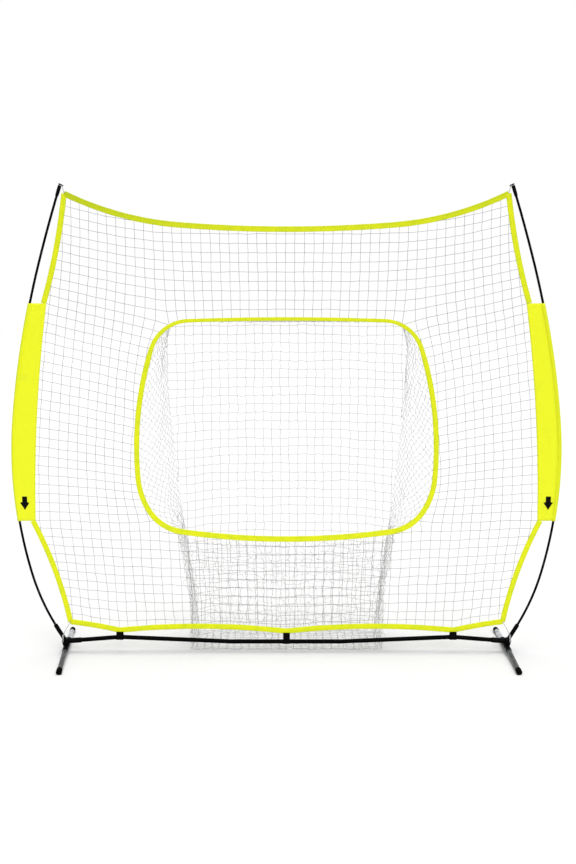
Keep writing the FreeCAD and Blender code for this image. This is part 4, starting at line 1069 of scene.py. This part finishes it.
def wall_surface():
    """The pocket's wall all the way round, from the floor on the left to the floor on the right:
    a function of the distance round and the share of the depth, with the wall's length."""
    front, back = wall_lines()
    front = np.concatenate((front * (-1, 1, 1), front[::-1][1:]))
    back = np.concatenate((back * (-1, 1, 1), back[::-1][1:]))
    middle = (front + back) / 2
    runs = runs_along(middle)

    def place(run, depth):
        near = np.array([np.interp(run, runs, front[:, k]) for k in range(3)])
        far = np.array([np.interp(run, runs, back[:, k]) for k in range(3)])
        return near + (far - near) * depth

    return place, float(runs[-1])


def build_pocket_walls():
    """The pocket's sides and roof. This netting is joined on cornerwise, so its meshes hang as
    diamonds."""
    surface, length = wall_surface()
    depth = POCKET_BACK_Y
    turn = math.radians(WALL_TURN)

    def grid(u, v):
        run = (u * math.cos(turn) - v * math.sin(turn)) * PITCH * WALL_GATHER
        deep = (u * math.sin(turn) + v * math.cos(turn)) * PITCH * WALL_GATHER
        run += ripples(u, v, (0.010, 0.4, 21.0)) + length / 2
        deep += ripples(u, v, (0.008, 0.4, 22.0)) + depth / 2
        return run, deep / depth

    def keep(u, v):
        run, deep = grid(u, v)
        return 0 < run < length and 0 < deep < 1

    def place(u, v):
        run, deep = grid(u, v)
        x, y, z = surface(run, deep)
        upright = min(max((ROOF_BACK[1] - z) / 0.25, 0.1), 1.0)
        sag = WALL_SAG if z > SAG_ABOVE_Z else BAG_WALL_SAG
        sag *= upright * math.sin(math.pi * clamp(deep)) * (1 + wobble(run * 6, deep * 2, 23.0))
        toward = Vector((-x, 0, 1.0 - z)).normalized() * sag
        return (x + toward.x, y, max(z + toward.z, LOWEST_KNOT_Z))

    reach = math.ceil((length / 2 + depth) / (PITCH * WALL_GATHER))
    net = lattice(reach, (-reach, reach), keep)
    netting("pocket_wall_netting", net, [place(u, v) for u, v in net[0]], WALL_CURL,
            "pocket_left_side", "pocket_right_side", "pocket_roof", finish="bag_netting")


# The mouth's lower edge on the right, from its middle outwards
LOWER_MOUTH = mouth_half_line()[::-1][:40]


def bag_panel(name, columns, rows, place, curl, node):
    """A rectangle of the bag's netting, columns wide to each side and some rows high."""
    net = lattice(columns, (0, rows), lambda u, v: abs(u) <= columns and 0 <= v <= rows)
    netting(name, net, [place(u / columns, v / rows, u, v) for u, v in net[0]], curl, node,
            finish="bag_netting")


def apron_place(across, share, u, v):
    """The front of the bag, from the strike zone's lower edge to the floor, gathered as it falls."""
    share = clamp(share)
    x = across * read_off(APRON_HALF_WIDTHS, BAG_TOP_Z * share)
    top = read_off(LOWER_MOUTH, abs(x))
    loose = math.sin(math.pi * share) + 0.25
    z = LOWEST_KNOT_Z + (top - LOWEST_KNOT_Z) * share
    z += loose * ripples(u, v, (0.014, 0.5, 31.0), (0.009, 1.5, 32.0))
    x += loose * ripples(u, v, (0.014, 0.5, 33.0), (0.009, 1.5, 34.0))
    y = apron_y(share) + loose * (0.010 + ripples(u, v, (0.010, 0.4, 35.0)))
    return (x, y, max(z, LOWEST_KNOT_Z))


def floor_place(across, share, u, v):
    """The bag's bottom, which lies on the floor in small gathers."""
    x = across * FLOOR_HALF + ripples(u, v, (0.008, 0.6, 41.0))
    y = APRON_Y + (POCKET_BACK_Y - APRON_Y) * share + ripples(u, v, (0.008, 0.6, 42.0))
    return (x, min(y, POCKET_BACK_Y), LOWEST_KNOT_Z + abs(ripples(u, v, (0.006, 0.7, 43.0))))


def build_bag():
    bag_panel("pocket_apron_netting", 13, 15, apron_place, APRON_CURL, "pocket_apron")
    bag_panel("pocket_floor_netting", 12, 8, floor_place, FLOOR_CURL, "pocket_floor")


# Sleeves


def sleeve_inner_x(z):
    return x_at(SLEEVE_EDGE, z)


def sleeve_face_y(x, z, flip):
    """How far the flat cloth's front lies from the net's plane."""
    free = clamp((pole_x(z) - SLEEVE_CHANNEL - x) / 0.02)
    end = min(z - SLEEVE_BOTTOM_Z, SLEEVE_TOP_Z - z)
    hem = 1.6 if end < SLEEVE_HEM else 1.0
    fold = 0.0011 * free * wobble(x * 26, z * 9, flip * 3.0) + 0.0005 * free * wobble(x * 60, z * 30, flip)
    return -SLEEVE_LAYER_GAP / 2 * hem + fold


def sleeve_section(z, flip):
    """The cloth's outline at a height: the front, the channel round the pole and the back."""
    inner, pole = sleeve_inner_x(z), pole_x(z)
    turned = [math.radians(a) for a in range(-160, 161, 16)]
    flat_end = pole + SLEEVE_CHANNEL * math.cos(turned[0]) - 0.002
    xs = [inner + (flat_end - inner) * i / 11 for i in range(12)]
    front = [(x, sleeve_face_y(x, z, flip)) for x in xs]
    channel = [(pole + SLEEVE_CHANNEL * math.cos(a), SLEEVE_CHANNEL * math.sin(a)) for a in turned]
    back = [(x, y + SLEEVE_LAYER_GAP) for x, y in front[::-1]]
    return front + channel + back


def sleeve_shade(x, z):
    """Painted shade, a little everywhere and most on the round channel."""
    return 0.04 + 0.35 * clamp((x - pole_x(z) + SLEEVE_CHANNEL * 0.6) / SLEEVE_CHANNEL)


def build_sleeve(side, flip):
    levels = even_steps(SLEEVE_EDGE, 0.010)[0][:, 1]
    points, uvs, shades = [], [], []
    for z in levels:
        section = sleeve_section(z, flip)
        run = 0.0
        for i, (x, y) in enumerate(section):
            if i:
                run += math.dist(section[i - 1], section[i])
            points.append((flip * x, y, z))
            uvs.append((z, run))
            shades.append(sleeve_shade(x, z))
    around = len(section)
    faces = ring_faces(len(levels), around, False)
    piece = mesh_piece(side + "_sleeve_cloth", points, faces if flip < 0 else turned_over(faces),
                       "sleeve_cloth", uvs, shades)
    thicken(piece, SLEEVE_CLOTH, -1.0)
    attach(piece, "sleeve_cloth", side + "_sleeve")
    width = float(np.mean([math.dist(a, b) for a, b in zip(section, section[1:])])) * around
    sleeve_stitches(flip, levels)


def sleeve_stitches(flip, levels):
    """Rows beside the channel and along both cut ends, front and back."""
    beside = [pole_x(z) - SLEEVE_CHANNEL - CHANNEL_SEAM_IN for z in levels]
    inner = [sleeve_inner_x(z) + SLEEVE_SEAM_IN for z in levels]
    for xs in (beside, inner):
        row = [(flip * x, sleeve_face_y(x, z, flip) - SLEEVE_THREAD_LIFT, z) for x, z in zip(xs, levels)]
        stitch_rows.append((np.array(row), False))
        stitch_rows.append((np.array(row) + (0, SLEEVE_LAYER_GAP + 2 * SLEEVE_THREAD_LIFT, 0), False))
    for z in (SLEEVE_BOTTOM_Z + 0.8 * SLEEVE_HEM, SLEEVE_TOP_Z - 0.8 * SLEEVE_HEM):
        xs = np.linspace(sleeve_inner_x(z) + SLEEVE_SEAM_IN, pole_x(z) - SLEEVE_CHANNEL - SLEEVE_SEAM_IN, 16)
        row = [(flip * x, sleeve_face_y(x, z, flip) - SLEEVE_THREAD_LIFT, z) for x in xs]
        stitch_rows.append((np.array(row), False))


# The printed arrow: its middle, its top and its two parts
ARROW_X = 1.201
ARROW_TOP_Z = 0.742
ARROW_SHAFT_HALF = 0.0115
ARROW_SHAFT = 0.027
ARROW_HEAD_HALF = 0.0225
ARROW_HEAD = 0.036
PRINT_LIFT = SLEEVE_CLOTH + 0.0004


def build_arrow(side, flip):
    """A plain arrow that points down, printed on the sleeve."""
    rows, columns = 24, 6
    points = []
    for row in range(rows + 1):
        drop = (ARROW_SHAFT + ARROW_HEAD) * row / rows
        if drop < ARROW_SHAFT:
            half = ARROW_SHAFT_HALF
        else:
            half = ARROW_HEAD_HALF * max(0.02, 1 - (drop - ARROW_SHAFT) / ARROW_HEAD)
        z = ARROW_TOP_Z - drop
        for column in range(columns + 1):
            x = ARROW_X + (column / columns * 2 - 1) * half
            points.append((flip * x, sleeve_face_y(x, z, flip) - PRINT_LIFT, z))
    faces = grid_faces(rows + 1, columns + 1)
    attach(mesh_piece(side + "_sleeve_arrow", points, faces if flip < 0 else turned_over(faces), "print"),
           "sleeve_cloth")


# Straps and cords

STRAP_WIDTH = 0.032
STRAP_CLOTH = 0.0014
STRAP_STEP = 0.003
STRAP_SLOPE_ROOM = 0.0018
BAR_RADIUS = 0.010
STRAP_PLACES = ((-STRAP_X, 0.074, BOTTOM_HEM_Z + STRAP_HEM_RISE), (0.0, 0.052, BOTTOM_HEM_Z),
                (STRAP_X, 0.074, BOTTOM_HEM_Z + STRAP_HEM_RISE))


def strap_outline(bar_z, hem_z, grip):
    """The loop that a strap makes in the upright plane across the bar, from hem to hem."""
    top = hem_z - BOTTOM_HEM_WIDTH * 0.3
    loop = [(-HEM_THICKNESS * 0.62, top), (-HEM_THICKNESS * 0.66, hem_z - BOTTOM_HEM_WIDTH * 0.5)]
    for angle in range(150, 391, 15):
        a = math.radians(angle)
        loop.append((grip * math.cos(a), bar_z + grip * math.sin(a)))
    loop += [(HEM_THICKNESS * 0.66, hem_z - BOTTOM_HEM_WIDTH * 0.5), (HEM_THICKNESS * 0.62, top)]
    return even_steps(np.array(loop), STRAP_STEP)[0]


def build_straps():
    """A hook-and-loop strap at each place, with its pressed-down end on the front. The outer two
    are wider loops, because the bar slopes there."""
    for number, (x, bar_z, hem_z) in enumerate(STRAP_PLACES):
        grip = BAR_RADIUS + STRAP_CLOTH + (STRAP_SLOPE_ROOM if x else 0.0)
        loop = strap_outline(bar_z, hem_z, grip)
        cloth_strip(f"bar_strap_{number}", loop, x, STRAP_WIDTH, "bar_straps")
        outer = strap_outline(bar_z, hem_z, grip + STRAP_CLOTH)
        flap = outer[2:len(outer) // 3] + (-STRAP_CLOTH, 0)
        cloth_strip(f"bar_strap_end_{number}", flap, x, STRAP_WIDTH - 0.002)


def cloth_strip(name, line, x, width, *nodes):
    """A flat strap that follows a line of (y, z) points, with soft edges."""
    across = [-1, -0.92, -0.5, 0, 0.5, 0.92, 1]
    points, uvs = [], []
    for i, (y, z) in enumerate(line):
        for share in across:
            ripple = 0.0005 * wobble(i * 0.35, share * 2, x)
            points.append((x + share * width / 2 + ripple, y + ripple, z))
            uvs.append((i * STRAP_STEP, share * width / 2))
    piece = mesh_piece(name, points, grid_faces(len(line), len(across)), "strap", uvs)
    thicken(piece, STRAP_CLOTH, 0.0)
    attach(piece, "strap", *nodes)


def tube_mesh(line, radius, closed):
    """Points and faces of a round cord along a line of 3-D points."""
    count, around = len(line), CORD_SIDES
    normal, points = None, []
    for i, here in enumerate(line):
        ahead = line[(i + 1) % count] if closed or i + 1 < count else here
        behind = line[i - 1] if closed or i else here
        way = (ahead - behind).normalized()
        if normal is None:
            normal = way.orthogonal().normalized()
        normal = (normal - way * normal.dot(way)).normalized()
        other = way.cross(normal)
        for j in range(around):
            a = 2 * math.pi * j / around
            points.append(here + (normal * math.cos(a) + other * math.sin(a)) * radius)
    faces = ring_faces(count, around, closed)
    if not closed:
        faces += end_faces(count, around)
    return points, faces


def cord_piece(name, lines, node):
    """One piece of elastic cord from several lines, each (points, closed)."""
    points, faces = [], []
    for line, closed in lines:
        more, rings = tube_mesh(line, CORD_RADIUS, closed)
        faces += [tuple(i + len(points) for i in face) for face in rings]
        points += more
    attach(mesh_piece(name, points, faces, "elastic"), "elastic", node)


def turns(count):
    return [2 * math.pi * i / count for i in range(count)]


def knot_line(centre):
    """A small overhand knot, as a closed line."""
    return [centre + Vector((math.sin(t) + 2 * math.sin(2 * t), -1.4 * math.sin(3 * t),
                             math.cos(t) - 2 * math.cos(2 * t))) * CORD_KNOT / 3 for t in turns(48)]


def hoop_line(centre, radius, axis):
    """A circle round an axis."""
    u = axis.orthogonal().normalized()
    v = axis.cross(u)
    return [centre + (u * math.cos(a) + v * math.sin(a)) * radius for a in turns(32)]


# Corner cords: a loop in the tip cap's groove above, and one through the hook's eye below
CORD_RADIUS = 0.0014
CORD_SIDES = 8
CORD_KNOT = 0.0022
GROOVE_UP = 0.0053
TIP_LOOP_RADIUS = 0.0068
TIP_KNOT_IN = 0.0112
EYE_OUT = 0.008
EYE_BACK = 0.002
EYE_DOWN = 0.002
EYE_LOOP_RADIUS = 0.0040
EYE_LOOP_UP = 0.0035
EYE_KNOT_UP = 0.0085


def on_side(line, flip):
    return [Vector((flip * p.x, p.y, p.z)) for p in line]


def build_corner_cords():
    """The elastic loops at the net's four corners, knotted where they close."""
    uppers, lowers = [], []
    hook_low, hook_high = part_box("corner_hooks")
    lean = math.radians(POLE_LEANS[-1])
    up = Vector((math.sin(lean), 0, math.cos(lean)))
    inward = Vector((-up.z, 0, up.x))
    groove = Vector((POLE_TIP[0], 0, POLE_TIP[1])) + up * GROOVE_UP
    corner = Vector((TOP_CORNER[0], 0, TOP_CORNER[1]))
    knot = groove + inward * TIP_KNOT_IN
    eye = Vector((HUB_X + EYE_OUT, (hook_low.y + hook_high.y) / 2 + EYE_BACK, hook_high.z - EYE_DOWN))
    top = eye + Vector((0, 0, EYE_KNOT_UP))
    low_corner = Vector((BOTTOM_CORNER[0], 0, BOTTOM_CORNER[1]))
    tip_strand = [knot, knot.lerp(corner, 0.4) + Vector((0, -0.001, 0)), corner]
    eye_strand = [top, top.lerp(low_corner, 0.5) + Vector((0.001, -0.001, 0)), low_corner]
    tip_loop = hoop_line(groove, TIP_LOOP_RADIUS, up)
    eye_loop = hoop_line(eye + Vector((0, 0, EYE_LOOP_UP)), EYE_LOOP_RADIUS, Vector((0, 1, 0)))
    for _, flip in SIDES:
        for lines, loop, tie, strand in ((uppers, tip_loop, knot, tip_strand),
                                         (lowers, eye_loop, top, eye_strand)):
            lines += [(on_side(loop, flip), True), (on_side(knot_line(tie), flip), True),
                      (on_side(strand, flip), False)]
    cord_piece("top_corner_elastic", uppers, "top_corner_loops")
    cord_piece("bottom_corner_elastic", lowers, "bottom_corner_cords")


# CAD nodes that stay, by the record's slots


def dress_nodes():
    slots = {part["node"]: part["material_slot"] for part in frame["record"]["subparts"]}
    for name, piece in frame["nodes"].items():
        hidden_in_black = name in ("elbow_rivets", "bar_connectors") or name.endswith("_snap_button")
        finish = FINISHES["black_steel" if hidden_in_black else slots[name]]
        if piece.data.materials:
            for slot in piece.material_slots:
                slot.material = finish
        else:
            piece.data.materials.append(finish)


# Studio


def build_camera():
    data = bpy.data.cameras.new("camera")
    data.lens, data.sensor_width = CAMERA_LENS, 36.0
    data.clip_start, data.clip_end = 0.05, 100.0
    camera = placed("camera", data)
    camera.location = CAMERA_PLACE
    camera.rotation_euler = (math.radians(90 - CAMERA_TILT), 0, 0)
    bpy.context.scene.camera = camera


# Light, by the brightness that it gives a white surface, with the lamps' places and softness in degrees
DAYLIGHT = 0.38
OVERHEAD = 0.72
OVERHEAD_SOFTNESS = 44.0
FRONT = 0.42
FRONT_HEIGHT = 35.0
FRONT_SIDE = 20.0
FRONT_SOFTNESS = 30.0
FLOOR_REACH = 30.0
FLOOR_WHITE = 1.05 / (DAYLIGHT + OVERHEAD + FRONT * math.sin(math.radians(FRONT_HEIGHT)))


def build_floor():
    """A floor that comes out just white where nothing shades it."""
    f = Finish("studio_floor")
    f.set(Base_Color=(FLOOR_WHITE, FLOOR_WHITE, FLOOR_WHITE), Roughness=1.0, Specular_IOR_Level=0.0)
    mesh = bpy.data.meshes.new("floor")
    corners = [(x * FLOOR_REACH, y * FLOOR_REACH, 0) for x, y in ((-1, -1), (1, -1), (1, 1), (-1, 1))]
    mesh.from_pydata(corners, [], [(0, 1, 2, 3)])
    mesh.materials.append(f.material)
    placed("floor", mesh)


def build_world():
    """Even daylight, behind a backdrop that camera, glossy and transmission rays see as white."""
    world = bpy.data.worlds.new("studio")
    bpy.context.scene.world = world
    world.use_nodes = True
    nodes = Nodes(world.node_tree)
    path = nodes.node("ShaderNodeLightPath").outputs
    seen = Number(nodes, path["Is Camera Ray"])
    for ray in ("Is Glossy Ray", "Is Transmission Ray"):
        seen = seen.through("ADD", path[ray], clamp=True)
    back = world.node_tree.nodes["Background"].inputs
    nodes.fill(back["Color"], (1.0, 1.0, 1.0))
    nodes.fill(back["Strength"], seen * (1.0 - DAYLIGHT) + DAYLIGHT)


def build_lamp(name, height, side, level, softness):
    """A broad, even light."""
    data = bpy.data.lights.new(name, "SUN")
    data.energy, data.angle = level * math.pi, math.radians(softness)
    placed(name, data).rotation_euler = (math.radians(90 - height), 0, math.radians(side))


def build_studio():
    build_camera()
    build_floor()
    build_world()
    build_lamp("overhead", 90.0, 0.0, OVERHEAD, OVERHEAD_SOFTNESS)
    build_lamp("front", FRONT_HEIGHT, FRONT_SIDE, FRONT, FRONT_SOFTNESS)
    bpy.context.scene.view_settings.view_transform = "Standard"


build_studio()
dress_nodes()
build_webbing()
for side, flip in SIDES:
    build_sleeve(side, flip)
    build_arrow(side, flip)
build_stitches()
build_front_netting()
build_pocket_back()
build_pocket_walls()
build_bag()
build_straps()
build_corner_cords()
